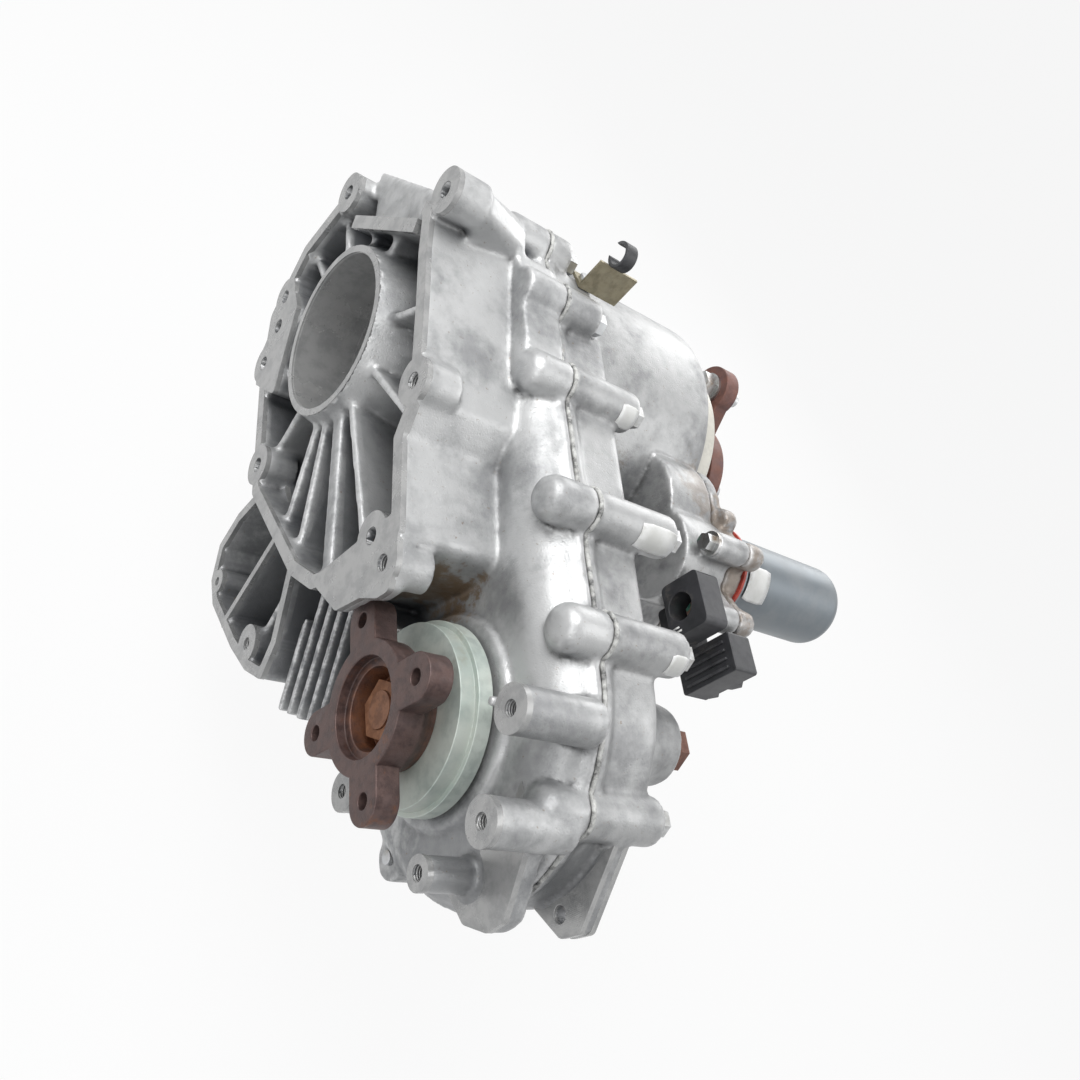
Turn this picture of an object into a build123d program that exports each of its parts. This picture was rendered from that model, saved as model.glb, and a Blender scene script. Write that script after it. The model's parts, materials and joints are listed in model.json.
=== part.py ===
from build123d import *
from math import asin, cos, degrees, pi, radians, sin, sqrt, tan
import os

os.makedirs("parts", exist_ok=True)

# Transfer case with two cast housings, a chain drive to the front output, a planetary centre
# differential with a multi-plate lock clutch, and an electric motor that works the clutch.
# Millimetres. The origin is the centre of the input bore on the gearbox face.
# +X runs rearward along the shafts, +Z up, and the front output lies at -Y.

# Fits and clearances
running_fit = 0.03
seat_fit = 0.02
free_gap = 0.3
plate_gap = 0.4

# Shafts and their spacing
shaft_spacing = 252.0
shaft_radius = 22.0
front_shaft_radius = 20.0
front_tail_radius = 17.0
input_socket_depth = 34.0
spline_radius = 16.0
front_spline_radius = 16.0
rear_tip_radius = 8.0
thread_radius = 10.0

# Stations along the shafts
parting = 90.0
shell_front = 63.0
shell_rear = 134.0
drum_rear = 250.0
rear_boss_end = 265.5
wall = 8.0
partition = 5.0

# Chain housing, a racetrack round both shafts
main_shell_radius = 107.0
output_shell_radius = 94.0
shoulder_radius = 25.0
rear_edge_radius = 8.0
lip = 3.0
lip_thickness = 6.0

# Gearbox adapter, an open cup with ribs
adapter_wall = 8.5
adapter_floor = 54.0
adapter_corner = 8.0
adapter_corners = [
    (8, 112), (-20, 104), (-52, 98), (-112, 85), (-129, 68), (-186, 60), (-187, 34),
    (-182, 4), (-172, -30), (-150, -54), (-62, -106), (30, -98), (80, -82), (105, -32), (104, 42),
]
ear_corners = [(-170, 61), (-197, 56), (-211, 46), (-210, 36), (-202, 20), (-198, -4), (-166, -30)]
ear_thickness = 9.0
bore_radius = 52.0
bore_depth = 58.0
tube_rim_radius = 56.5
tube_base_radius = 74.0
rib_angles = [6, 38, 66, 118, 150, 176, 190, 206, 218, 250, 285, 318, 342]
rib_thickness = 5.0
rib_front = 8.0
thick_rib_angle = 190
thick_rib = 10.0
gearbox_boss_radius = 14.0
gearbox_boss_length = 24.0
gearbox_hole_radius = 5.1
gearbox_thread_radius = 5.0
gearbox_threads = [(-193, 43), (-101, 81)]
gearbox_holes = [(5, 125), (102, 27), (81, -61), (61, -71), (43, -93), (-42, -99), (-172, 34)]
# Step in the top of the rim, with the band and the plate behind it
notch_corners = [(112, 47), (18, 116), (8, 98), (70, 34)]
notch_depth = 12.0
notch_plate = 6.0
band_start = (70, 31)
band_end = (5, 95)
# Machined pad between the holes on the right-hand side
pad_corners = [
    (86, -56), (72, -46), (58, -44), (40, -56), (4, -78), (31, -104), (50, -104), (64, -84), (88, -72),
]
# Rail from the top hole back to the parting: its outline in front and behind
rail_rear = 66.0
rail_front_corners = [(-7, 108), (-7, 132), (6, 137), (24, 128), (34, 112)]
rail_rear_corners = [(-2, 104), (4, 116), (16, 119), (32, 116), (42, 104)]

# Lower shell and finned sump, in front of the chain housing
skirt_front = 18.0
skirt_floor = 58.0
skirt_wall = 7.0
skirt_corners = [
    (-118, -80), (-168, -106), (-184, -126), (-168, -148), (-142, -170), (-94, -202),
    (-72, -206), (-48, -194), (-38, -164), (-36, -98),
]
skirt_hole = (-78, -196)
skirt_hole_radius = 3.2
skirt_boss = (-150, -146)
skirt_boss_radius = 13.0
sump_front = 42.0
sump_corners = [(-198, -8), (-238, -52), (-222, -94), (-196, -134), (-166, -106), (-140, -44)]
fin_count = 6
fin_centre = (-187, -66)
fin_reach = 90.0
fin_front = 27.0
fin_thickness = 4.0
fin_spacing = 13.5
fin_angle = 216.0

# Bolts that close the housings, each with its boss: (y, z, front end, rear end)
case_bolt_radius = 4.0
case_boss_radius = 13.0
case_bolt_grip = 22.0
case_bolt_head = 8.2
flat_bosses = [(30, 105, 60, 108), (-22, 110, 60, 118)]
round_bosses = [
    (-80, 103, 60, 143), (-168, 104, 58, 150), (-240, 98, 60, 145), (-319, 63, 62, 141),
    (-305, -72, 80, 137), (-245, -97, 80, 137), (-168, -104, 66, 137), (-80, -107, 66, 137),
    (-10, -112, 66, 118), (62, -96, 66, 118), (105, -42, 66, 118), (105, 42, 66, 118),
]
case_bosses = flat_bosses + round_bosses
# Raised plateau round the first two bosses
plateau_front = 60.0
plateau_corners = [(2, 80), (4, 115), (-64, 110), (-74, 100), (-74, 80)]
dowel_places = [(72, 83), (-205, -100)]
dowel_radius = 5.0
dowel_length = 16.0

# Bosses with threads that face forward round the front output: (y, z, radius, front end)
stay_bosses = [(-285, 91, 12, 32), (-327, 61, 12, 33), (-336, 8, 9, 34), (-265, -85, 12, 50)]
stay_thread_radius = 4.2
stay_thread_depth = 21.5
stay_stud = (-268, 62)
stay_stud_radius = 3.0
stay_stud_front = 44.0

# Flat lugs at the output end
front_lug_front = 64.0
front_lug_rear = 77.0
front_lug_corners = [(-312, -26), (-357, 0), (-365, 18), (-363, 31), (-328, 58), (-300, 56)]
rear_lug_front = 114.0
rear_lug_rear = 124.0
rear_lug_corners = [(-322, 72), (-367, 28), (-366, 13), (-345, -6), (-328, -26), (-300, -26), (-300, 60)]
lug_corner = 5.0
lug_hole = (-354.5, 15.5)
lug_hole_radius = 4.5

# Rear drum
drum_radius = 100.0
drum_edge = 10.0
rear_boss_radius = 62.0
tail_boss = (-254, 19)
tail_boss_base = 38.0
tail_boss_end_radius = 24.0
tail_boss_end = 206.0
plug_radius = 10.0
plug_flats = 24.0
plug_head = 14.0
drain_place = (-118, -26)
drain_flats = 22.0
rear_rib_thickness = 5.0

# Bearings and seals: inner radius follows the shaft
input_bearing_outer = 42.0
input_bearing_front = 66.0
input_bearing_width = 18.0
input_seal_outer = 34.0
input_seal_width = 8.0
sleeve_radius = 34.0
sleeve_bore = 27.0
sleeve_bearing_outer = 50.0
sleeve_bearing_front = 127.0
sleeve_bearing_width = 11.0
rear_bearing_outer = 42.0
rear_bearing_front = 241.0
rear_bearing_width = 17.0
snap_ring_width = 2.5
rear_seal_width = 7.5
front_bearing_outer = 40.0
front_bearing_front = 72.0
front_bearing_width = 18.0
front_seal_front = 60.0
front_seal_width = 8.0
tail_bearing_outer = 36.0
tail_bearing_front = 125.0
tail_bearing_width = 16.0
hub_wall = 9.0

# Chain and sprockets
chain_pitch = 12.7
chain_width = 23.0
chain_front = 98.0
sprocket_teeth = 30
sprocket_depth = 5.0
sprocket_hub_radius = 44.0
link_toe = 0.42
link_back = 0.30

# Planetary centre differential
gear_module = 2.5
sun_teeth = 36
planet_teeth = 12
ring_teeth = sun_teeth + 2 * planet_teeth
planet_count = 4
gear_front = 146.0
gear_width = 18.0
gear_backlash = 0.7
pressure_angle = 20.0
addendum = 0.9
dedendum = 1.2
planet_pin_radius = 6.0
carrier_radius = 71.0
carrier_front_plate = 6.0
carrier_rear_plate = 6.5
carrier_post_radius = 10.0
ring_outer = 86.0

# Lock clutch
drum_inner = 80.0
clutch_end_front = 203.5
clutch_end_rear = 209.5
hub_outer = 50.0
hub_front = 173.0
hub_rear = 199.5
plate_thickness = 1.8
friction_plates = 4
pack_front = 175.0
backing_thickness = 3.0
pressure_front = 196.6
pressure_thickness = 4.0
pressure_pins = 6
pressure_pin_radius = 3.5
pressure_pin_circle = 64.0
thrust_front = 212.0
thrust_thickness = 5.0
thrust_inner = 50.0
thrust_outer = 72.0
clutch_travel = 1.2

# Ball ramp that presses the clutch
ramp_front = 218.2
ramp_thickness = 6.8
ramp_outer = 76.0
ramp_bore = 32.0
ramp_spigot_bore = 26.0
ball_radius = 4.0
ball_circle = 46.0
ball_count = 3
ramp_seat_front = 230.0
ramp_seat_rear = 236.5
ramp_seat_outer = 60.0

# Clutch motor and its gear train
train_module = 1.5
sector_teeth = 110
sector_count = 14
idler_small_teeth = 24
idler_large_teeth = 48
pinion_teeth = 12
train_angle = 158.6
train_backlash = 0.55
idler_large_front = 230.5
idler_large_width = 6.0
idler_pin_radius = 5.0
rotor_shaft_radius = 3.0
chamber_front = 200.5
chamber_rear = 241.0
chamber_wall = 6.0
housing_rear = 256.0
can_recess = 10.0
can_radius = 29.0
can_wall = 2.0
can_front = 259.0
can_rear = 374.0
can_edge = 13.0
gasket_thickness = 2.0
magnet_thickness = 3.0
armature_radius = 20.0
actuator_bolts = [(-147, 92), (-186, 72), (-154, 11)]
actuator_bolt_radius = 3.0

# Harness bracket on top of the housing, and the two plugs on the clutch motor
bracket_angle = 84.0
bracket_height = 22.0
bracket_sheet = 2.0
bracket_front = 117.0
bracket_length = 32.0
bracket_foot = 15.0
bracket_screw_radius = 3.0
clip_radius = 9.0
clip_wall = 2.4
plug_front = 223.5
plug_length = 20.0
sensor_front = 193.0

# Front output flange
front_flange_face = 12.0
front_flange_thickness = 14.0
front_flange_pcd = 96.0
front_flange_hole = 4.25
front_arm_radius = 12.5
front_arm_angle = 4.0
front_pilot_radius = 26.7
front_pilot_depth = 6.0
front_well_radius = 22.0
front_well_depth = 20.0
front_hub_radius = 26.0
shield_front = 38.0
shield_rear = 56.0
shield_radius = 49.0
shield_skirt_radius = 52.0

# Rear output flange, three lobes
rear_flange_front = 311.0
rear_flange_thickness = 14.0
rear_lobe_circle = 75.0
rear_lobe_radius = 19.0
rear_lobe_angle = 51.0
rear_lobe_hole = 6.1
rear_hub_radius = 24.0
rear_waist_radius = 34.0
rear_centre_radius = 46.0
rear_shield_front = 270.0
rear_shield_radius = 80.0
rear_shield_skirt = 8.0
rear_tip_end = 366.0

# Values worked out from the sizes above
output_axis = (-shaft_spacing, 0)
sprocket_pitch_radius = chain_pitch / (2 * sin(pi / sprocket_teeth))
link_count = round(2 * shaft_spacing / chain_pitch + sprocket_teeth)
chain_radius = (link_count * chain_pitch - 2 * shaft_spacing) / (2 * pi)
sprocket_tip = chain_radius - link_toe * chain_pitch - free_gap
chain_rear = chain_front + chain_width
shell_floor = shell_front + wall
chain_floor = shell_rear - wall
planet_circle = gear_module * (sun_teeth + planet_teeth) / 2
gear_rear = gear_front + gear_width
sector_radius = train_module * sector_teeth / 2
idler_distance = sector_radius + train_module * idler_small_teeth / 2
motor_distance = idler_distance + train_module * (idler_large_teeth + pinion_teeth) / 2
idler_axis = (idler_distance * cos(radians(train_angle)), idler_distance * sin(radians(train_angle)))
motor_axis = (motor_distance * cos(radians(train_angle)), motor_distance * sin(radians(train_angle)))


# Plane across the shafts at a station; its sketch axes are Y and Z
def across(station):
    return Plane.YZ.offset(station)


# Point on a circle round a centre
def polar(radius, angle, centre=(0, 0)):
    return (centre[0] + radius * cos(radians(angle)), centre[1] + radius * sin(radians(angle)))


# Round bar along the shafts
def bar(centre, radius, front, rear, mode=Mode.ADD):
    with BuildSketch(across(front)) as section:
        with Locations(centre):
            Circle(radius)
    extrude(section.sketch, amount=rear - front, mode=mode)


# Round boss with a blunt rounded front end
def blunt_boss(centre, radius, front, rear):
    turned([(front, 0), (front, 0.55 * radius), (front + 0.12 * radius, 0.8 * radius),
            (front + 0.45 * radius, radius), (rear, radius), (rear, 0)], centre)


# Ring along the shafts
def ring(centre, outer, inner, front, rear):
    with BuildSketch(across(front)) as section:
        with Locations(centre):
            Circle(outer)
            Circle(inner, mode=Mode.SUBTRACT)
    extrude(section.sketch, amount=rear - front)


# Turned shape: the profile lists (station, radius)
def turned(profile, centre=(0, 0), mode=Mode.ADD):
    with BuildSketch(Plane.XY.offset(centre[1])) as section:
        with BuildLine():
            Polyline(*[(station, centre[0] + radius) for station, radius in profile], close=True)
        make_face()
    revolve(section.sketch, axis=Axis((0, centre[0], centre[1]), (1, 0, 0)), mode=mode)


# Hexagon across flats, along the shafts
def hexagon(centre, flats, front, rear, mode=Mode.ADD):
    with BuildSketch(across(front)) as section:
        with Locations(centre):
            RegularPolygon(flats / 2, 6, major_radius=False)
    extrude(section.sketch, amount=rear - front, mode=mode)


# Flat web between two points across the shafts
def web(start, end, thickness, front, rear, limit=None):
    length = sqrt((end[0] - start[0]) ** 2 + (end[1] - start[1]) ** 2)
    middle = ((start[0] + end[0]) / 2, (start[1] + end[1]) / 2)
    slope = degrees(asin((end[1] - start[1]) / length))
    if end[0] < start[0]:
        slope = 180 - slope
    with BuildSketch(across(front)) as section:
        with Locations(middle):
            Rectangle(length, thickness, rotation=slope)
        if limit:
            add(limit.sketch_local, mode=Mode.INTERSECT)
    extrude(section.sketch, amount=rear - front)


# Outline of straight runs with rounded corners, drawn at a station
def outline(station, corners, corner_radius, inset=0.0):
    with BuildSketch(across(station)) as section:
        with BuildLine():
            Polyline(*corners, close=True)
        make_face()
        if inset:
            offset(amount=-inset, kind=Kind.INTERSECTION, mode=Mode.REPLACE)
        fillet(section.vertices(), corner_radius)
    return section


# Racetrack round both shafts: two circles and the straight runs that touch them
def racetrack(station, main_radius, output_radius):
    lean = (main_radius - output_radius) / shaft_spacing
    rise = sqrt(1 - lean ** 2)
    top_main = (-main_radius * lean, main_radius * rise)
    top_output = (-shaft_spacing - output_radius * lean, output_radius * rise)
    with BuildSketch(across(station)) as section:
        Circle(main_radius)
        with Locations(output_axis):
            Circle(output_radius)
        with BuildLine():
            Polyline(top_main, top_output, (top_output[0], -top_output[1]),
                     (top_main[0], -top_main[1]), close=True)
        make_face()
    return section


# Racetrack block with one face's edge rounded
def shell_block(front, rear, inset, edge_radius, rounded_face):
    with BuildPart() as block:
        extrude(racetrack(front, main_shell_radius - inset, output_shell_radius - inset).sketch,
                amount=rear - front)
        fillet(block.faces().sort_by(Axis.X)[rounded_face].edges(), edge_radius)
    return block.part


# Corner points of a toothed wheel with straight flanks; a tooth stands at the phase angle
def tooth_corners(centre, teeth, module, backlash, phase, inward=False, count=None):
    pitch_radius = module * teeth / 2
    side = -1 if inward else 1
    points = []
    for index in range(count or teeth):
        middle = radians(phase + index * 360 / teeth)
        flank = []
        for height in (-dedendum * module, addendum * module):
            radius = pitch_radius + side * height
            half = module * pi / 4 - backlash / 2 - height * tan(radians(pressure_angle))
            flank.append((radius, half / radius))
        for radius, angle in flank:
            points.append((radius, middle - angle))
        for radius, angle in reversed(flank):
            points.append((radius, middle + angle))
    return [(centre[0] + r * cos(a), centre[1] + r * sin(a)) for r, a in points]


# Toothed wheel, with a hole through it
def toothed_wheel(centre, teeth, module, backlash, phase, front, rear, hole):
    with BuildSketch(across(front)) as section:
        with BuildLine():
            Polyline(*tooth_corners(centre, teeth, module, backlash, phase), close=True)
        make_face()
        with Locations(centre):
            Circle(hole, mode=Mode.SUBTRACT)
    extrude(section.sketch, amount=rear - front)


# Sealed ball bearing: two rings with a shield set in between
def bearing(centre, outer, inner, front, width):
    land = (outer - inner) * 0.28
    recess = 1.0
    rear = front + width
    turned([
        (front, inner), (front, inner + land), (front + recess, inner + land),
        (front + recess, outer - land), (front, outer - land), (front, outer),
        (rear, outer), (rear, outer - land), (rear - recess, outer - land),
        (rear - recess, inner + land), (rear, inner + land), (rear, inner),
    ], centre)


# Lip seal: a cup ring with its open side to the rear
def lip_seal(centre, outer, inner, front, width):
    skin = 2.0
    rear = front + width
    turned([
        (front, inner), (front, outer), (rear, outer), (rear, outer - skin),
        (front + skin, outer - skin), (front + skin, inner + 2 * skin),
        (rear - skin, inner + skin), (rear - skin, inner),
    ], centre)


def make_front_case():
    front_shell = shell_block(shell_front, parting, 0, shoulder_radius, 0)
    front_cavity = shell_block(shell_floor, parting, wall, shoulder_radius - wall, 0)
    with BuildPart() as front_case:
        # gearbox adapter: cup, tube and ribs
        extrude(outline(0, adapter_corners, adapter_corner).sketch, amount=shell_floor)
        pocket = outline(0, adapter_corners, adapter_corner / 2, adapter_wall)
        extrude(pocket.sketch, amount=adapter_floor, mode=Mode.SUBTRACT)
        turned([(0, 0), (0, tube_rim_radius), (bore_depth, tube_base_radius), (bore_depth, 0)])
        for angle in rib_angles:
            thickness = thick_rib if angle == thick_rib_angle else rib_thickness
            reach = outline(rib_front, adapter_corners, adapter_corner)
            web(polar(bore_radius + 2, angle), polar(3 * bore_radius + 55, angle), thickness,
                rib_front, shell_floor, reach)
        extrude(outline(0, notch_corners, 2).sketch, amount=notch_depth, mode=Mode.SUBTRACT)
        extrude(outline(notch_depth, notch_corners, 2).sketch, amount=notch_plate)
        web(band_start, band_end, adapter_wall, 0, shell_floor)
        extrude(outline(0, pad_corners, 3).sketch, amount=gearbox_boss_length)
        for centre in gearbox_holes + gearbox_threads:
            bar(centre, gearbox_boss_radius, 0, gearbox_boss_length)
        loft([outline(gearbox_boss_length, rail_front_corners, 4).sketch,
              outline(rail_rear, rail_rear_corners, 4).sketch])
        extrude(outline(0, ear_corners, adapter_corner / 2).sketch, amount=ear_thickness)
        # lower shell with its two pockets, and the finned sump
        extrude(outline(skirt_front, skirt_corners, adapter_corner / 2).sketch,
                amount=shell_floor - skirt_front)
        skirt_pocket = outline(skirt_front, skirt_corners, 3, skirt_wall)
        extrude(skirt_pocket.sketch, amount=skirt_floor - skirt_front, mode=Mode.SUBTRACT)
        web((-84, -92), (-118, -186), rib_thickness, skirt_front, shell_floor)
        web((-124, -96), (-146, -140), rib_thickness, skirt_front + 6, shell_floor)
        bar(skirt_boss, skirt_boss_radius, skirt_front, shell_floor)
        bar(skirt_hole, 9, skirt_front, shell_floor)
        extrude(outline(sump_front, sump_corners, adapter_corner / 2).sketch,
                amount=shell_floor - sump_front)
        fin_limit = outline(fin_front, sump_corners, adapter_corner / 2)
        for index in range(fin_count):
            shift = polar((index - (fin_count - 1) / 2) * fin_spacing, fin_angle + 90, fin_centre)
            web(polar(-fin_reach, fin_angle, shift), polar(fin_reach, fin_angle, shift), fin_thickness,
                fin_front, shell_floor, fin_limit)
        # room for the front flange and its dust shield to turn
        arm_reach = front_flange_pcd / 2 + front_arm_radius
        bar(output_axis, arm_reach + 2, ear_thickness + 1, front_flange_face + front_flange_thickness + 2,
            Mode.SUBTRACT)
        bar(output_axis, shield_skirt_radius + 2.5, ear_thickness + 1, shell_floor, Mode.SUBTRACT)
        # chain housing shoulder and its parting lip
        add(front_shell)
        extrude(racetrack(parting - lip_thickness, main_shell_radius + lip, output_shell_radius + lip).sketch,
                amount=lip_thickness)
        for y, z, front, rear in flat_bosses:
            bar((y, z), case_boss_radius, front, parting)
        for y, z, front, rear in round_bosses:
            blunt_boss((y, z), case_boss_radius, front, parting)
        extrude(outline(plateau_front, plateau_corners, 4).sketch, amount=parting - plateau_front)
        bar(output_axis, 58, front_seal_front - 1, shell_floor)
        bar(output_axis, 66, shell_front + 1, shell_floor)
        for y, z, radius, front in stay_bosses:
            bar((y, z), radius, front, parting - lip_thickness)
        bar(stay_stud, stay_stud_radius, stay_stud_front, shell_floor)
        extrude(outline(front_lug_front, front_lug_corners, lug_corner).sketch,
                amount=front_lug_rear - front_lug_front)
        # hollow for the chain, then the bearing hubs inside it
        add(front_cavity, mode=Mode.SUBTRACT)
        hub_end = input_bearing_front + input_bearing_width
        bar((0, 0), input_bearing_outer + hub_wall, shell_front, hub_end)
        bar(output_axis, front_bearing_outer + hub_wall, shell_front,
            front_bearing_front + front_bearing_width)
        for y, z, front, rear in case_bosses:
            bar((y, z), case_boss_radius, shell_floor, parting)
        # bores and threads
        bar((0, 0), bore_radius, 0, bore_depth, Mode.SUBTRACT)
        bar((0, 0), input_seal_outer + seat_fit, bore_depth, input_bearing_front, Mode.SUBTRACT)
        bar((0, 0), input_bearing_outer + seat_fit, input_bearing_front, parting, Mode.SUBTRACT)
        bar(output_axis, front_bearing_outer + seat_fit, front_seal_front - 2, parting, Mode.SUBTRACT)
        for centre in gearbox_holes:
            bar(centre, gearbox_hole_radius, 0, gearbox_boss_length, Mode.SUBTRACT)
        for centre in gearbox_threads:
            bar(centre, gearbox_thread_radius, 0, gearbox_boss_length - 2, Mode.SUBTRACT)
        for y, z, radius, front in stay_bosses:
            bar((y, z), stay_thread_radius, front, front + stay_thread_depth, Mode.SUBTRACT)
        bar(skirt_boss, stay_thread_radius, skirt_front, skirt_front + stay_thread_depth, Mode.SUBTRACT)
        bar(skirt_hole, skirt_hole_radius, skirt_front, skirt_floor, Mode.SUBTRACT)
        for y, z, front, rear in case_bosses:
            bar((y, z), case_bolt_radius + seat_fit, parting - case_bolt_grip, parting, Mode.SUBTRACT)
        for centre in dowel_places:
            bar(centre, dowel_radius + seat_fit, parting - dowel_length / 2, parting, Mode.SUBTRACT)
    front_case.part.label = "front_case"
    export_step(front_case.part, "parts/front_case.step")


def make_rear_case():
    rear_shell = shell_block(parting, shell_rear, 0, rear_edge_radius, -1)
    rear_cavity = shell_block(parting, chain_floor, wall, rear_edge_radius / 2, -1)
    drum_floor = rear_bearing_front
    ramp_floor = ramp_seat_rear
    chamber_ends = [(idler_axis, idler_large_teeth), (motor_axis, pinion_teeth + 18)]
    with BuildPart() as drum:
        bar((0, 0), drum_radius, shell_rear - wall, drum_rear)
        fillet(drum.faces().sort_by(Axis.X)[-1].edges(), drum_edge)
    with BuildPart() as rear_case:
        add(rear_shell)
        extrude(racetrack(parting, main_shell_radius + lip, output_shell_radius + lip).sketch,
                amount=lip_thickness)
        add(drum.part)
        bar((0, 0), rear_boss_radius, drum_rear - drum_edge, rear_boss_end)
        for y, z, front, rear in case_bosses:
            bar((y, z), case_boss_radius, parting, rear)
        for y, z, front, rear in case_bosses:
            if rear > shell_rear:
                web((y, z), (y * 0.96, z * 0.7), 2 * case_boss_radius * 0.6, chain_floor, rear - 12)
        # gear chamber on the side of the drum, open to the rear
        for centre, teeth in chamber_ends:
            bar(centre, train_module * teeth / 2 + 2 * train_module + chamber_wall,
                chamber_front, chamber_rear)
        web(idler_axis, motor_axis, 2 * (can_radius - 2), chamber_front, chamber_rear)
        for centre in actuator_bolts:
            bar(centre, 3 * actuator_bolt_radius, chamber_front + 12, chamber_rear)
            web(centre, motor_axis, 5 * actuator_bolt_radius, chamber_front + 12, chamber_rear)
        # tail boss with the filler plug, and the tail bearing boss
        turned([(chain_floor, 0), (chain_floor, tail_boss_base), (tail_boss_end, tail_boss_end_radius),
                (tail_boss_end, 0)], tail_boss)
        bar(output_axis, tail_bearing_outer + hub_wall, chain_floor, tail_bearing_front + tail_bearing_width + 8)
        extrude(outline(rear_lug_front, rear_lug_corners, lug_corner).sketch,
                amount=rear_lug_rear - rear_lug_front)
        bar(drain_place, drain_flats * 0.7, shell_rear - 2, shell_rear + 6)
        for angle in (250, 275, 300, 325):
            web(polar(drum_radius - 4, angle), polar(main_shell_radius - 2, angle), rear_rib_thickness,
                chain_floor, drum_rear - 60)
        # hollows
        add(rear_cavity, mode=Mode.SUBTRACT)
        for y, z, front, rear in case_bosses:
            bar((y, z), case_boss_radius, parting, min(rear, chain_floor + 1))
        bar((0, 0), drum_radius - wall, shell_rear + partition, drum_floor, Mode.SUBTRACT)
        for centre, teeth in chamber_ends:
            bar(centre, train_module * teeth / 2 + 2 * train_module, chamber_front + chamber_wall,
                chamber_rear, Mode.SUBTRACT)
        bar((0, 0), ramp_seat_outer, ramp_floor, drum_floor)
        ring(output_axis, tail_bearing_outer + hub_wall, tail_bearing_outer + seat_fit,
             tail_bearing_front, shell_rear)
        ring((0, 0), sleeve_bearing_outer + hub_wall, sleeve_bearing_outer + seat_fit,
             sleeve_bearing_front, shell_rear + partition)
        bar(idler_axis, 2 * idler_pin_radius, chamber_front, ramp_front - 1)
        # bores
        bar((0, 0), sleeve_bearing_outer + seat_fit, chain_floor, shell_rear + partition, Mode.SUBTRACT)
        bar((0, 0), shaft_radius + 4, ramp_floor - 1, rear_bearing_front + 1, Mode.SUBTRACT)
        bar((0, 0), rear_bearing_outer + seat_fit, rear_bearing_front, rear_boss_end, Mode.SUBTRACT)
        bar(output_axis, tail_bearing_outer + seat_fit, tail_bearing_front,
            tail_bearing_front + tail_bearing_width + 1, Mode.SUBTRACT)
        bar(tail_boss, plug_radius, tail_boss_end - 24, tail_boss_end, Mode.SUBTRACT)
        bar(drain_place, plug_radius, chain_floor - 1, shell_rear + 6, Mode.SUBTRACT)
        bar(lug_hole, lug_hole_radius, rear_lug_front, rear_lug_rear, Mode.SUBTRACT)
        bar(idler_axis, idler_pin_radius + seat_fit, chamber_front + 4, chamber_rear + 6.5, Mode.SUBTRACT)
        for y, z, front, rear in case_bosses:
            bar((y, z), case_bolt_radius + free_gap, parting, rear, Mode.SUBTRACT)
            bar((y, z), case_bolt_head + free_gap, rear, max(rear, shell_rear) + 10, Mode.SUBTRACT)
        for centre in dowel_places:
            bar(centre, dowel_radius + seat_fit, parting, parting + dowel_length / 2, Mode.SUBTRACT)
        for centre in actuator_bolts:
            bar(centre, actuator_bolt_radius + seat_fit, chamber_front, chamber_rear, Mode.SUBTRACT)
    rear_case.part.label = "rear_case"
    export_step(rear_case.part, "parts/rear_case.step")


def make_case_fasteners():
    with BuildPart() as case_bolts:
        for y, z, front, rear in case_bosses:
            bar((y, z), case_bolt_radius, parting - case_bolt_grip + 1, rear)
            bar((y, z), case_bolt_head, rear, rear + 1.5)
            hexagon((y, z), case_bolt_head * 1.6, rear + 1.5, rear + 8)
    case_bolts.part.label = "case_bolts"
    export_step(case_bolts.part, "parts/case_bolts.step")
    with BuildPart() as case_dowels:
        for centre in dowel_places:
            bar(centre, dowel_radius, parting - dowel_length / 2 + 0.2, parting + dowel_length / 2 - 0.2)
    case_dowels.part.label = "case_dowels"
    export_step(case_dowels.part, "parts/case_dowels.step")
    with BuildPart() as filler_plug:
        bar(tail_boss, plug_radius - seat_fit, tail_boss_end - 14, tail_boss_end)
        bar(tail_boss, plug_flats * 0.62, tail_boss_end, tail_boss_end + 4)
        hexagon(tail_boss, plug_flats, tail_boss_end + 4, tail_boss_end + 4 + plug_head)
    filler_plug.part.label = "filler_plug"
    export_step(filler_plug.part, "parts/filler_plug.step")
    with BuildPart() as drain_plug:
        boss_face = shell_rear + 6
        bar(drain_place, plug_radius - seat_fit, chain_floor + 1, boss_face)
        bar(drain_place, drain_flats * 0.6, boss_face, boss_face + 3)
        hexagon(drain_place, drain_flats, boss_face + 3, boss_face + 10)
    drain_plug.part.label = "drain_plug"
    export_step(drain_plug.part, "parts/drain_plug.step")


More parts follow.
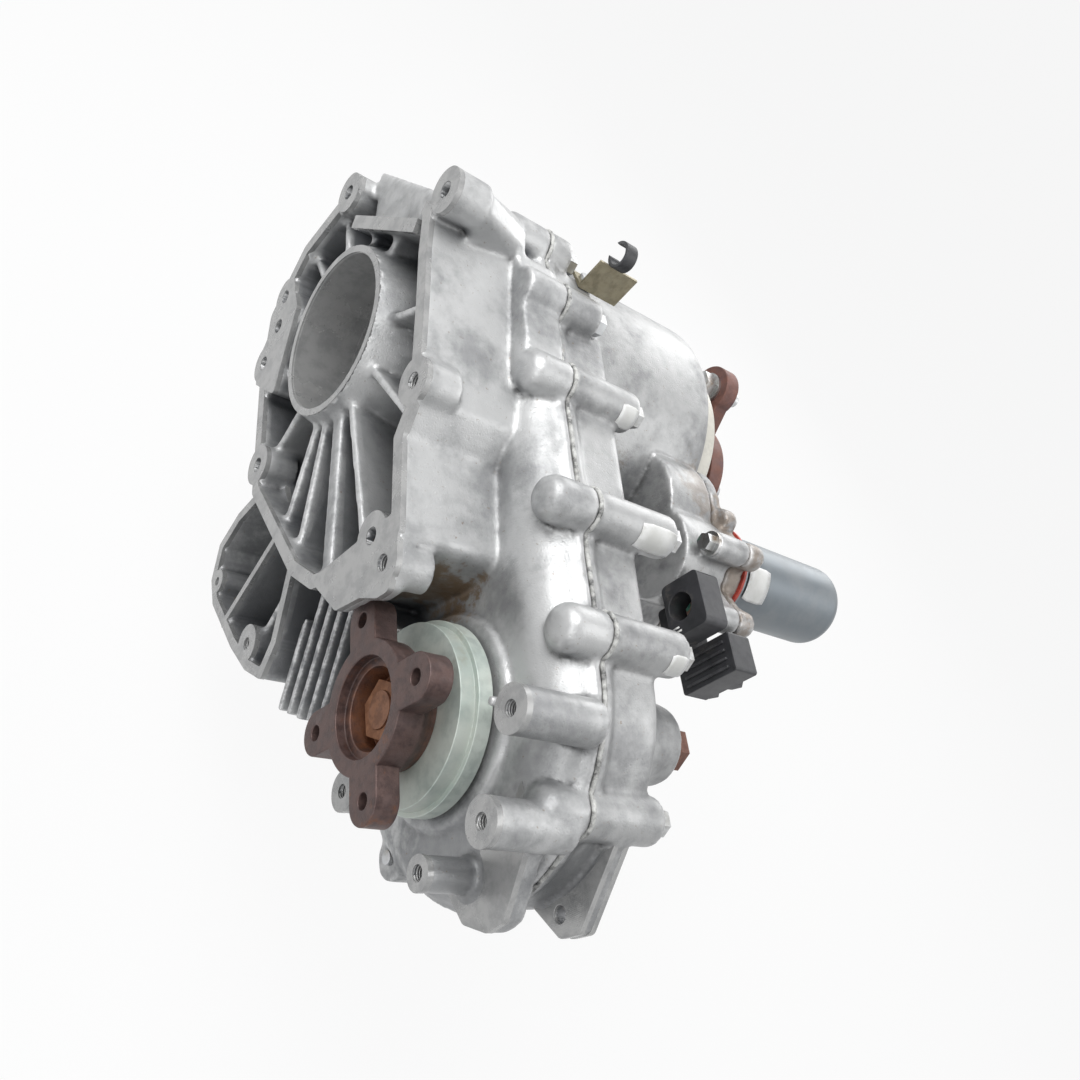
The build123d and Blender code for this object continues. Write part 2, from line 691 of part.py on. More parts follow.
def make_input_group():
    with BuildPart() as input_seal:
        lip_seal((0, 0), input_seal_outer, shaft_radius + running_fit, bore_depth, input_seal_width)
    input_seal.part.label = "input_seal"
    export_step(input_seal.part, "parts/input_seal.step")
    with BuildPart() as input_bearing:
        bearing((0, 0), input_bearing_outer, shaft_radius + running_fit,
                input_bearing_front, input_bearing_width)
    input_bearing.part.label = "input_bearing"
    export_step(input_bearing.part, "parts/input_bearing.step")
    with BuildPart() as input_shaft:
        bar((0, 0), shaft_radius, bore_depth + 2, hub_rear)
        bar((0, 0), shaft_radius - 8, bore_depth + 2, bore_depth + input_socket_depth, Mode.SUBTRACT)
    input_shaft.part.label = "input_shaft"
    export_step(input_shaft.part, "parts/input_shaft.step")
    with BuildPart() as planet_carrier:
        front_plate = gear_front - free_gap - carrier_front_plate
        ring((0, 0), carrier_radius, sleeve_radius + 2, front_plate, gear_front - free_gap)
        ring((0, 0), carrier_radius, shaft_radius + seat_fit, gear_rear + free_gap,
             gear_rear + free_gap + carrier_rear_plate)
        for index in range(planet_count):
            post_angle = (index + 0.5) * 360 / planet_count
            bar(polar(planet_circle, post_angle), carrier_post_radius, front_plate, gear_rear + 1)
        for index in range(planet_count):
            place = polar(planet_circle, index * 360 / planet_count)
            bar(place, planet_pin_radius + seat_fit, front_plate, gear_rear + 8, Mode.SUBTRACT)
    planet_carrier.part.label = "planet_carrier"
    export_step(planet_carrier.part, "parts/planet_carrier.step")
    with BuildPart() as planet_pins:
        for index in range(planet_count):
            bar(polar(planet_circle, index * 360 / planet_count), planet_pin_radius,
                gear_front - carrier_front_plate, gear_rear + carrier_rear_plate)
    planet_pins.part.label = "planet_pins"
    export_step(planet_pins.part, "parts/planet_pins.step")
    with BuildPart() as clutch_hub:
        turned([
            (hub_front, shaft_radius + seat_fit), (hub_front, hub_outer), (hub_rear - 3, hub_outer),
            (hub_rear - 3, hub_outer - 6), (hub_front + 9, hub_outer - 6),
            (hub_front + 9, shaft_radius + 8), (hub_rear - 1, shaft_radius + 8),
            (hub_rear - 1, shaft_radius + seat_fit),
        ])
    clutch_hub.part.label = "clutch_hub"
    export_step(clutch_hub.part, "parts/clutch_hub.step")


def make_planets():
    pitch_angle = 360 / planet_teeth
    for index in range(planet_count):
        name = f"planet_gear_{index + 1}"
        angle = index * 360 / planet_count
        with BuildPart() as planet_gear:
            toothed_wheel(polar(planet_circle, angle), planet_teeth, gear_module, gear_backlash,
                          angle + pitch_angle / 2, gear_front + 1, gear_rear - 1,
                          planet_pin_radius + running_fit)
        planet_gear.part.label = name
        export_step(planet_gear.part, f"parts/{name}.step")


def make_sprocket_group():
    def sprocket(centre, hub_radius, bore, hub_front_end, hub_rear_end):
        with BuildSketch(across(chain_front)) as section:
            with BuildLine():
                corners = []
                step = 360 / sprocket_teeth
                root = sprocket_tip - sprocket_depth
                for index in range(sprocket_teeth):
                    middle = index * step
                    corners.append(polar(root, middle - 0.34 * step, centre))
                    corners.append(polar(sprocket_tip, middle - 0.14 * step, centre))
                    corners.append(polar(sprocket_tip, middle + 0.14 * step, centre))
                    corners.append(polar(root, middle + 0.34 * step, centre))
                Polyline(*corners, close=True)
            make_face()
        extrude(section.sketch, amount=chain_width)
        bar(centre, hub_radius, hub_front_end, hub_rear_end)
        bar(centre, bore, hub_front_end, hub_rear_end, Mode.SUBTRACT)

    with BuildPart() as drive_sprocket:
        sprocket((0, 0), sprocket_hub_radius, sleeve_radius + seat_fit, chain_front - 5, chain_rear + 1)
    drive_sprocket.part.label = "drive_sprocket"
    export_step(drive_sprocket.part, "parts/drive_sprocket.step")
    with BuildPart() as driven_sprocket:
        sprocket(output_axis, front_shaft_radius + 10, front_shaft_radius + seat_fit,
                 chain_front - 5, chain_rear + 1)
    driven_sprocket.part.label = "driven_sprocket"
    export_step(driven_sprocket.part, "parts/driven_sprocket.step")
    with BuildPart() as sun_shaft:
        bar((0, 0), sleeve_radius, chain_front - 6, gear_front)
        with BuildSketch(across(gear_front)) as sun_section:
            with BuildLine():
                Polyline(*tooth_corners((0, 0), sun_teeth, gear_module, gear_backlash, 0), close=True)
            make_face()
        extrude(amount=gear_width - 1)
        bar((0, 0), sleeve_bore, chain_front - 6, gear_rear, Mode.SUBTRACT)
    sun_shaft.part.label = "sun_shaft"
    export_step(sun_shaft.part, "parts/sun_shaft.step")
    with BuildPart() as sleeve_needles:
        ring((0, 0), sleeve_bore - seat_fit, shaft_radius + running_fit, chain_front - 4, chain_rear - 3)
    sleeve_needles.part.label = "sleeve_needles"
    export_step(sleeve_needles.part, "parts/sleeve_needles.step")
    with BuildPart() as sleeve_bearing:
        bearing((0, 0), sleeve_bearing_outer, sleeve_radius + running_fit,
                sleeve_bearing_front, sleeve_bearing_width)
    sleeve_bearing.part.label = "sleeve_bearing"
    export_step(sleeve_bearing.part, "parts/sleeve_bearing.step")


# Point of the chain's pin line and its direction, at a distance along the loop
def chain_place(distance):
    arc = pi * chain_radius
    loop = 2 * (shaft_spacing + arc)
    distance = distance % loop
    if distance < shaft_spacing:
        return (-distance, chain_radius), 180
    distance -= shaft_spacing
    if distance < arc:
        angle = 90 + degrees(distance / chain_radius)
        return polar(chain_radius, angle, output_axis), angle + 90
    distance -= arc
    if distance < shaft_spacing:
        return (-shaft_spacing + distance, -chain_radius), 0
    distance -= shaft_spacing
    angle = 270 + degrees(distance / chain_radius)
    return polar(chain_radius, angle), angle + 90


def make_chain():
    half = 0.48 * chain_pitch
    back = link_back * chain_pitch
    toe = link_toe * chain_pitch
    link = [(-half, 0), (-0.42 * chain_pitch, -back), (0.42 * chain_pitch, -back), (half, 0),
            (0.3 * chain_pitch, toe), (0, 0.1 * toe), (-0.3 * chain_pitch, toe)]
    with BuildPart() as chain:
        with BuildSketch(across(chain_front)) as links:
            for index in range(link_count):
                (y, z), heading = chain_place((index + 0.5) * chain_pitch)
                turn = radians(heading)
                with BuildLine():
                    Polyline(*[(y + u * cos(turn) - v * sin(turn), z + u * sin(turn) + v * cos(turn))
                               for u, v in link], close=True)
                make_face()
        extrude(amount=chain_width)
    chain.part.label = "chain"
    export_step(chain.part, "parts/chain.step")


def make_rear_output_group():
    with BuildPart() as ring_gear:
        with BuildSketch(across(gear_front - 1)):
            Circle(ring_outer)
            with BuildLine():
                Polyline(*tooth_corners((0, 0), ring_teeth, gear_module, gear_backlash, 0, True), close=True)
            make_face(mode=Mode.SUBTRACT)
        extrude(amount=gear_width + 2)
    ring_gear.part.label = "ring_gear"
    export_step(ring_gear.part, "parts/ring_gear.step")
    with BuildPart() as clutch_drum:
        ring((0, 0), ring_outer, drum_inner, gear_rear + 1, clutch_end_front)
        ring((0, 0), ring_outer, shaft_radius + seat_fit, clutch_end_front, clutch_end_rear)
        ring((0, 0), shaft_radius + 10, shaft_radius + seat_fit, clutch_end_front, clutch_end_rear + 6)
        for index in range(pressure_pins):
            bar(polar(pressure_pin_circle, index * 360 / pressure_pins), pressure_pin_radius + free_gap,
                clutch_end_front, clutch_end_rear, Mode.SUBTRACT)
    clutch_drum.part.label = "clutch_drum"
    export_step(clutch_drum.part, "parts/clutch_drum.step")
    pack_pitch = plate_thickness + plate_gap
    with BuildPart() as steel_plates:
        ring((0, 0), drum_inner - seat_fit, hub_outer + 2, pack_front - plate_gap - backing_thickness,
             pack_front - plate_gap)
        for index in range(friction_plates + 1):
            front = pack_front + 2 * index * pack_pitch
            ring((0, 0), drum_inner - seat_fit, hub_outer + 2, front, front + plate_thickness)
    steel_plates.part.label = "steel_plates"
    export_step(steel_plates.part, "parts/steel_plates.step")
    with BuildPart() as friction_discs:
        for index in range(friction_plates):
            front = pack_front + (2 * index + 1) * pack_pitch
            ring((0, 0), drum_inner - 3, hub_outer + seat_fit, front, front + plate_thickness)
    friction_discs.part.label = "friction_discs"
    export_step(friction_discs.part, "parts/friction_discs.step")
    with BuildPart() as rear_output_shaft:
        bar((0, 0), shaft_radius, clutch_end_front - 2, rear_bearing_front + rear_bearing_width + 1)
        bar((0, 0), spline_radius, rear_bearing_front + rear_bearing_width,
            rear_flange_front + rear_flange_thickness + 12)
        bar((0, 0), rear_tip_radius, rear_flange_front, rear_tip_end)
    rear_output_shaft.part.label = "rear_output_shaft"
    export_step(rear_output_shaft.part, "parts/rear_output_shaft.step")
    with BuildPart() as rear_output_bearing:
        bearing((0, 0), rear_bearing_outer, shaft_radius + running_fit,
                rear_bearing_front, rear_bearing_width)
    rear_output_bearing.part.label = "rear_output_bearing"
    export_step(rear_output_bearing.part, "parts/rear_output_bearing.step")
    snap_front = rear_bearing_front + rear_bearing_width
    with BuildPart() as bearing_snap_ring:
        ring((0, 0), rear_bearing_outer, rear_bearing_outer - 5, snap_front, snap_front + snap_ring_width)
    bearing_snap_ring.part.label = "bearing_snap_ring"
    export_step(bearing_snap_ring.part, "parts/bearing_snap_ring.step")
    seal_front = snap_front + snap_ring_width + 0.5
    with BuildPart() as rear_output_seal:
        lip_seal((0, 0), rear_bearing_outer, rear_hub_radius + running_fit, seal_front, rear_seal_width)
    rear_output_seal.part.label = "rear_output_seal"
    export_step(rear_output_seal.part, "parts/rear_output_seal.step")
    with BuildPart() as rear_output_flange:
        turned([
            (snap_front + 1, 0), (snap_front + 1, rear_hub_radius), (rear_shield_front + 5, rear_hub_radius),
            (rear_shield_front + 8, rear_waist_radius), (rear_flange_front, rear_waist_radius),
            (rear_flange_front, 0),
        ])
        with BuildSketch(across(rear_flange_front)) as lobes:
            Circle(rear_centre_radius)
            for index in range(3):
                angle = rear_lobe_angle + index * 120
                with Locations(polar(rear_lobe_circle, angle)):
                    Circle(rear_lobe_radius)
                with Locations(polar(rear_lobe_circle / 2, angle)):
                    Rectangle(rear_lobe_circle, 2 * rear_lobe_radius * 0.8, rotation=angle)
        extrude(amount=rear_flange_thickness)
        for index in range(3):
            bar(polar(rear_lobe_circle, rear_lobe_angle + index * 120), rear_lobe_hole,
                rear_flange_front, rear_flange_front + rear_flange_thickness, Mode.SUBTRACT)
        bar((0, 0), spline_radius + seat_fit, snap_front, rear_flange_front + rear_flange_thickness,
            Mode.SUBTRACT)
    rear_output_flange.part.label = "rear_output_flange"
    export_step(rear_output_flange.part, "parts/rear_output_flange.step")
    flange_rear = rear_flange_front + rear_flange_thickness
    with BuildPart() as rear_flange_nut:
        hexagon((0, 0), 46, flange_rear, flange_rear + 10)
        bar((0, 0), spline_radius + seat_fit, flange_rear, flange_rear + 10, Mode.SUBTRACT)
    rear_flange_nut.part.label = "rear_flange_nut"
    export_step(rear_flange_nut.part, "parts/rear_flange_nut.step")
    with BuildPart() as rear_dust_shield:
        ring((0, 0), rear_shield_radius, rear_hub_radius + seat_fit, rear_shield_front, rear_shield_front + 4)
        ring((0, 0), rear_shield_radius, rear_shield_radius - 3, rear_shield_front - rear_shield_skirt,
             rear_shield_front)
    rear_dust_shield.part.label = "rear_dust_shield"
    export_step(rear_dust_shield.part, "parts/rear_dust_shield.step")
    lobe_bolt = polar(rear_lobe_circle, rear_lobe_angle)
    with BuildPart() as coupling_bolt:
        bar(lobe_bolt, rear_lobe_hole - free_gap, rear_flange_front - 1, flange_rear + 16)
        bar(lobe_bolt, rear_lobe_hole * 2, rear_flange_front - 2.5, rear_flange_front)
        hexagon(lobe_bolt, 19, rear_flange_front - 13, rear_flange_front - 2.5)
    coupling_bolt.part.label = "coupling_bolt"
    export_step(coupling_bolt.part, "parts/coupling_bolt.step")


def make_clutch_actuation():
    with BuildPart() as pressure_plate:
        ring((0, 0), drum_inner - free_gap, hub_outer + 2, pressure_front, pressure_front + pressure_thickness)
        for index in range(pressure_pins):
            bar(polar(pressure_pin_circle, index * 360 / pressure_pins), pressure_pin_radius,
                pressure_front, thrust_front)
    pressure_plate.part.label = "pressure_plate"
    export_step(pressure_plate.part, "parts/pressure_plate.step")
    with BuildPart() as thrust_bearing:
        ring((0, 0), thrust_outer, thrust_inner, thrust_front, thrust_front + thrust_thickness)
    thrust_bearing.part.label = "thrust_bearing"
    export_step(thrust_bearing.part, "parts/thrust_bearing.step")
    ball_station = ramp_front + ramp_thickness + 2.5
    sector_phase = train_angle - 2 * 360 / sector_teeth
    with BuildPart() as ramp_ring:
        with BuildSketch(across(ramp_front)):
            Circle(ramp_outer)
            with BuildLine():
                teeth = tooth_corners((0, 0), sector_teeth, train_module, train_backlash,
                                      sector_phase, False, sector_count)
                last = sector_phase + (sector_count - 1) * 360 / sector_teeth
                Polyline(polar(ramp_outer - 20, sector_phase - 4), *teeth,
                         polar(ramp_outer - 20, last + 4), close=True)
            make_face()
            Circle(ramp_bore + running_fit, mode=Mode.SUBTRACT)
        extrude(amount=ramp_thickness)
        with BuildSketch(Plane.XY) as groove:
            with Locations((ball_station, ball_circle)):
                Circle(ball_radius + free_gap)
        revolve(axis=Axis.X, mode=Mode.SUBTRACT)
    ramp_ring.part.label = "ramp_ring"
    export_step(ramp_ring.part, "parts/ramp_ring.step")
    with BuildPart() as ramp_seat:
        turned([
            (ramp_front, ramp_spigot_bore), (ramp_front, ramp_bore), (ramp_seat_front, ramp_bore),
            (ramp_seat_front, ramp_seat_outer), (ramp_seat_rear, ramp_seat_outer),
            (ramp_seat_rear, ramp_spigot_bore),
        ])
        for index in range(ball_count):
            bar(polar(ball_circle, index * 360 / ball_count), ball_radius + seat_fit,
                ramp_seat_front, ball_station + ball_radius, Mode.SUBTRACT)
    ramp_seat.part.label = "ramp_seat"
    export_step(ramp_seat.part, "parts/ramp_seat.step")
    with BuildPart() as ramp_balls:
        for index in range(ball_count):
            y, z = polar(ball_circle, index * 360 / ball_count)
            with Locations((ball_station, y, z)):
                Sphere(ball_radius)
    ramp_balls.part.label = "ramp_balls"
    export_step(ramp_balls.part, "parts/ramp_balls.step")


def make_actuator():
    small_pitch = 360 / idler_small_teeth
    pinion_pitch = 360 / pinion_teeth
    large_rear = idler_large_front + idler_large_width
    with BuildPart() as idler_gear:
        toothed_wheel(idler_axis, idler_small_teeth, train_module, train_backlash,
                      train_angle + 180 + small_pitch / 2, ramp_front, ramp_front + ramp_thickness,
                      idler_pin_radius + running_fit)
        ring(idler_axis, idler_pin_radius + 7, idler_pin_radius + running_fit,
             ramp_front + ramp_thickness, idler_large_front)
        toothed_wheel(idler_axis, idler_large_teeth, train_module, train_backlash, train_angle,
                      idler_large_front, large_rear, idler_pin_radius + running_fit)
    idler_gear.part.label = "idler_gear"
    export_step(idler_gear.part, "parts/idler_gear.step")
    with BuildPart() as idler_pin:
        bar(idler_axis, idler_pin_radius, chamber_front + 5, chamber_rear + 6)
    idler_pin.part.label = "idler_pin"
    export_step(idler_pin.part, "parts/idler_pin.step")
    with BuildPart() as motor_rotor:
        toothed_wheel(motor_axis, pinion_teeth, train_module, train_backlash,
                      train_angle + 180 + pinion_pitch / 2, idler_large_front, large_rear,
                      rotor_shaft_radius)
        bar(motor_axis, rotor_shaft_radius, idler_large_front - 6, can_rear - 8)
        bar(motor_axis, armature_radius, can_front + 14, can_rear - 22)
    motor_rotor.part.label = "motor_rotor"
    export_step(motor_rotor.part, "parts/motor_rotor.step")
    with BuildPart() as actuator_housing:
        cover_rear = chamber_rear + 5
        for centre, radius in ((idler_axis, train_module * (idler_large_teeth + 4) / 2 + chamber_wall),
                               (motor_axis, can_radius + 2)):
            bar(centre, radius, chamber_rear, cover_rear + 5)
        bar(motor_axis, can_radius + 2, chamber_rear, housing_rear - 12)
        for angle in (train_angle + 70, train_angle + 250):
            place = polar(can_radius + 7, angle, motor_axis)
            bar(place, 8, housing_rear - 12, housing_rear)
            web(place, motor_axis, 14, housing_rear - 12, housing_rear)
        bar(motor_axis, can_radius + 3, housing_rear - 12, housing_rear)
        for centre in actuator_bolts:
            bar(centre, 3 * actuator_bolt_radius, chamber_rear, chamber_rear + 14)
            web(centre, motor_axis, 5 * actuator_bolt_radius, chamber_rear, chamber_rear + 8)
        bar((0, 0), drum_radius + free_gap, chamber_rear - 1, housing_rear, Mode.SUBTRACT)
        bar(motor_axis, rotor_shaft_radius + 2, chamber_rear, housing_rear, Mode.SUBTRACT)
        bar(motor_axis, can_radius - 5, housing_rear - can_recess, housing_rear, Mode.SUBTRACT)
        bar(idler_axis, idler_pin_radius + seat_fit, chamber_rear, chamber_rear + 6.5, Mode.SUBTRACT)
        for centre in actuator_bolts:
            bar(centre, actuator_bolt_radius + seat_fit, chamber_rear, chamber_rear + 12, Mode.SUBTRACT)
    actuator_housing.part.label = "actuator_housing"
    export_step(actuator_housing.part, "parts/actuator_housing.step")
    with BuildPart() as motor_gasket:
        ring(motor_axis, can_radius + 3.6, can_radius - 4, housing_rear, housing_rear + gasket_thickness)
    motor_gasket.part.label = "motor_gasket"
    export_step(motor_gasket.part, "parts/motor_gasket.step")
    with BuildPart() as motor_can:
        bar(motor_axis, can_radius, can_front - 1, can_rear)
        fillet(motor_can.faces().sort_by(Axis.X)[-1].edges(), can_edge)
        bar(motor_axis, 9, can_rear - 1, can_rear + 4)
        bar(motor_axis, can_radius + 3, housing_rear + gasket_thickness, housing_rear + gasket_thickness + 2.5)
        bar(motor_axis, can_radius - can_wall, housing_rear, can_rear - can_edge, Mode.SUBTRACT)
        bar(motor_axis, rotor_shaft_radius + running_fit, can_rear - can_edge - 1, can_rear - 6, Mode.SUBTRACT)
    motor_can.part.label = "motor_can"
    export_step(motor_can.part, "parts/motor_can.step")
    with BuildPart() as motor_magnets:
        ring(motor_axis, can_radius - can_wall - seat_fit, can_radius - can_wall - magnet_thickness,
             can_front + 16, can_rear - 24)
    motor_magnets.part.label = "motor_magnets"
    export_step(motor_magnets.part, "parts/motor_magnets.step")
    with BuildPart() as actuator_screws:
        head_front = chamber_front + 12
        for centre in actuator_bolts:
            bar(centre, actuator_bolt_radius, head_front, chamber_rear + 11)
            bar(centre, actuator_bolt_radius * 2.7, head_front - 2, head_front)
            hexagon(centre, 10, head_front - 8, head_front - 2)
    actuator_screws.part.label = "actuator_screws"
    export_step(actuator_screws.part, "parts/actuator_screws.step")


def make_harness_parts():
    foot_radius = main_shell_radius + 1.6
    foot_end = bracket_angle - degrees(2 * asin(bracket_foot / 2 / foot_radius))
    corner = polar(foot_radius, bracket_angle)
    top = polar(foot_radius + bracket_height, bracket_angle)
    screw_angle = (bracket_angle + foot_end) / 2
    screw_station = bracket_front + 8
    with BuildPart() as harness_bracket:
        web(corner, polar(foot_radius, foot_end), bracket_sheet, bracket_front, shell_rear - 2)
        web(polar(foot_radius - bracket_sheet / 2, bracket_angle), top, bracket_sheet,
            bracket_front, bracket_front + bracket_length)
    harness_bracket.part.label = "harness_bracket"
    export_step(harness_bracket.part, "parts/harness_bracket.step")
    with BuildPart() as bracket_screw:
        seat = foot_radius * cos(radians((bracket_angle - foot_end) / 2)) + bracket_sheet / 2 + seat_fit
        place = polar(seat, screw_angle)
        with BuildSketch(Plane(origin=(screw_station, *place), z_dir=(0, *polar(1, screw_angle)))):
            RegularPolygon(2 * bracket_screw_radius, 6)
        extrude(amount=bracket_screw_radius)
    bracket_screw.part.label = "bracket_screw"
    export_step(bracket_screw.part, "parts/bracket_screw.step")
    with BuildPart() as harness_clip:
        centre = polar(foot_radius + bracket_height + clip_radius + 0.2, bracket_angle)
        with BuildSketch(across(bracket_front + 6)):
            with Locations(centre):
                Circle(clip_radius)
                Circle(clip_radius - clip_wall, mode=Mode.SUBTRACT)
            with Locations(polar(clip_radius, -20, centre)):
                Rectangle(clip_radius, clip_radius, rotation=-20, mode=Mode.SUBTRACT)
        extrude(amount=9)
    harness_clip.part.label = "harness_clip"
    export_step(harness_clip.part, "parts/harness_clip.step")
    body_edge = motor_axis[0] - can_radius - 2
    with BuildPart() as motor_plug:
        with BuildSketch(across(plug_front)):
            with Locations((body_edge - 17, motor_axis[1] - 14)):
                RectangleRounded(42, 20, 3)
            with Locations((body_edge - 46, motor_axis[1] + 5)):
                RectangleRounded(26, 44, 2)
        extrude(amount=plug_length)
        bar(motor_axis, can_radius + 3 + free_gap, plug_front - 1, plug_front + plug_length + 1, Mode.SUBTRACT)
    motor_plug.part.label = "motor_plug"
    export_step(motor_plug.part, "parts/motor_plug.step")
    with BuildPart() as position_sensor:
        sensor_screw = actuator_bolts[1]
        sensor_rear = chamber_front + 12 - free_gap
        with BuildSketch(across(sensor_front)):
            with Locations((sensor_screw[0], sensor_screw[1] + 3)):
                RectangleRounded(36, 30, 4)
            with Locations(sensor_screw):
                Circle(3 * actuator_bolt_radius, mode=Mode.SUBTRACT)
        extrude(amount=sensor_rear - sensor_front)
        chamber_reach = train_module * (pinion_teeth + 18) / 2 + 2 * train_module + chamber_wall
        bar(motor_axis, chamber_reach + free_gap, sensor_front, sensor_rear, Mode.SUBTRACT)
    position_sensor.part.label = "position_sensor"
    export_step(position_sensor.part, "parts/position_sensor.step")


def make_front_output_group():
    flange_rear = front_flange_face + front_flange_thickness
    lip_end = front_seal_front + front_seal_width + 3
    with BuildPart() as front_output_flange:
        with BuildSketch(across(front_flange_face)) as plate:
            with Locations(output_axis):
                Circle(front_pilot_radius + 9)
            for index in range(4):
                angle = front_arm_angle + index * 90
                with Locations(polar(front_flange_pcd / 2, angle, output_axis)):
                    Circle(front_arm_radius)
                with Locations(polar(front_flange_pcd / 4, angle, output_axis)):
                    Rectangle(front_flange_pcd / 2, 2 * front_arm_radius, rotation=angle)
        extrude(amount=front_flange_thickness)
        turned([
            (front_flange_face + 4, 0), (front_flange_face + 4, front_pilot_radius + 9),
            (flange_rear, front_pilot_radius + 9), (shield_front - 2, front_hub_radius + 4),
            (shield_front, front_hub_radius + 4), (shield_front, front_hub_radius),
            (lip_end, front_hub_radius), (lip_end, 0),
        ], output_axis)
        bar(output_axis, front_pilot_radius, front_flange_face, front_flange_face + front_pilot_depth,
            Mode.SUBTRACT)
        bar(output_axis, front_well_radius, front_flange_face, front_flange_face + front_well_depth,
            Mode.SUBTRACT)
        bar(output_axis, front_spline_radius + seat_fit, front_flange_face, lip_end, Mode.SUBTRACT)
        for index in range(4):
            bar(polar(front_flange_pcd / 2, front_arm_angle + index * 90, output_axis), front_flange_hole,
                front_flange_face, flange_rear, Mode.SUBTRACT)
    front_output_flange.part.label = "front_output_flange"
    export_step(front_output_flange.part, "parts/front_output_flange.step")
    well_floor = front_flange_face + front_well_depth
    with BuildPart() as front_output_shaft:
        bar(output_axis, thread_radius, well_floor - 10, well_floor + 6)
        bar(output_axis, front_spline_radius, well_floor + 1, front_bearing_front)
        bar(output_axis, front_shaft_radius, front_bearing_front - 0.5, tail_bearing_front - 1)
        bar(output_axis, front_tail_radius, tail_bearing_front - 2, tail_bearing_front + tail_bearing_width)
    front_output_shaft.part.label = "front_output_shaft"
    export_step(front_output_shaft.part, "parts/front_output_shaft.step")
    with BuildPart() as front_flange_nut:
        hexagon(output_axis, 30, well_floor, well_floor - 9)
        bar(output_axis, thread_radius + seat_fit, well_floor, well_floor - 9, Mode.SUBTRACT)
    front_flange_nut.part.label = "front_flange_nut"
    export_step(front_flange_nut.part, "parts/front_flange_nut.step")
    with BuildPart() as front_dust_shield:
        step = (shield_front + shield_rear) / 2
        turned([
            (shield_front + seat_fit, front_hub_radius + seat_fit), (shield_front + seat_fit, shield_radius),
            (step, shield_radius), (step, shield_skirt_radius), (shield_rear, shield_skirt_radius),
            (shield_rear, shield_skirt_radius - 2.5), (step + 2, shield_skirt_radius - 2.5),
            (step + 2, shield_radius - 2.5), (shield_front + 3, shield_radius - 2.5),
            (shield_front + 3, front_hub_radius + 3), (step, front_hub_radius + 3),
            (step, front_hub_radius + seat_fit),
        ], output_axis)
    front_dust_shield.part.label = "front_dust_shield"
    export_step(front_dust_shield.part, "parts/front_dust_shield.step")
    with BuildPart() as front_output_seal:
        lip_seal(output_axis, front_bearing_outer, front_hub_radius + running_fit,
                 front_seal_front, front_seal_width)
    front_output_seal.part.label = "front_output_seal"
    export_step(front_output_seal.part, "parts/front_output_seal.step")
    with BuildPart() as front_output_bearing:
        bearing(output_axis, front_bearing_outer, front_shaft_radius + running_fit,
                front_bearing_front, front_bearing_width)
    front_output_bearing.part.label = "front_output_bearing"
    export_step(front_output_bearing.part, "parts/front_output_bearing.step")
    with BuildPart() as front_tail_bearing:
        bearing(output_axis, tail_bearing_outer, front_tail_radius + running_fit,
                tail_bearing_front, tail_bearing_width)
    front_tail_bearing.part.label = "front_tail_bearing"
    export_step(front_tail_bearing.part, "parts/front_tail_bearing.step")


def main():
    make_front_case()
    make_rear_case()
    make_case_fasteners()
    make_input_group()
    make_planets()
    make_sprocket_group()
    make_chain()
    make_rear_output_group()
    make_clutch_actuation()
    make_actuator()
    make_harness_parts()
    make_front_output_group()


main()
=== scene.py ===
import json
import math
import bmesh
import bpy
import numpy as np
from mathutils import Matrix, Vector
from mathutils.bvhtree import BVHTree
from mathutils.kdtree import KDTree


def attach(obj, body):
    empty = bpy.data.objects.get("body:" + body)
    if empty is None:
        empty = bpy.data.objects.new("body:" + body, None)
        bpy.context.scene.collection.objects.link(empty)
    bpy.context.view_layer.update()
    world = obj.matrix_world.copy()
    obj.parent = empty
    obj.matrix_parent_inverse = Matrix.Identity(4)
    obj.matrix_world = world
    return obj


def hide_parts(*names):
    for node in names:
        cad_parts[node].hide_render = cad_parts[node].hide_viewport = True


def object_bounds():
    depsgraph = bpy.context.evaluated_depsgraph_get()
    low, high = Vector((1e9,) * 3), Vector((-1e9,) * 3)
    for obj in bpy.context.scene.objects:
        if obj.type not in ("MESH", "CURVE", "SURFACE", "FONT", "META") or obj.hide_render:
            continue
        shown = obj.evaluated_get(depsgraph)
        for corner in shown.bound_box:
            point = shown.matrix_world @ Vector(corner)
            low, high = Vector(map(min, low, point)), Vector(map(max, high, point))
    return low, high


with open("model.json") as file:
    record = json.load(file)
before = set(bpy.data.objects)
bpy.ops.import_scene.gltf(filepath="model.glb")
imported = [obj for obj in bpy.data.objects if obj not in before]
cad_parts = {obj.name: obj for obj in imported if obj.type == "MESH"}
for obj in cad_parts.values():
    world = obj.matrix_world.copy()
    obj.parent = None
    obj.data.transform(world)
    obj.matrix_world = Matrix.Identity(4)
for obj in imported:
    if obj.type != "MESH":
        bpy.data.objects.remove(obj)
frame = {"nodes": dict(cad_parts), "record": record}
scene = bpy.context.scene
nodes = frame["nodes"]
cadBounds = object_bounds()
print("frame loaded,", len(nodes), "nodes")

# Shader nodes

def addNode(tree, kind, **settings):
    made = tree.nodes.new(kind)
    for key, value in settings.items():
        setattr(made, key, value)
    return made


def feed(tree, value, socket):  # a number, a colour or another node's socket
    if isinstance(value, bpy.types.NodeSocket):
        tree.links.new(value, socket)
    elif hasattr(socket.default_value, "__len__") and len(value) == 3 and len(socket.default_value) == 4:
        socket.default_value = (*value, 1)
    else:
        socket.default_value = value


def calculate(tree, operation, first, second=0.0, third=None):
    made = addNode(tree, "ShaderNodeMath", operation=operation)
    feed(tree, first, made.inputs[0])
    feed(tree, second, made.inputs[1])
    if third is not None:
        feed(tree, third, made.inputs[2])
    return made.outputs[0]


def times(tree, first, second):
    return calculate(tree, "MULTIPLY", first, second)


def timesPlus(tree, first, second, added):
    return calculate(tree, "MULTIPLY_ADD", first, second, added)


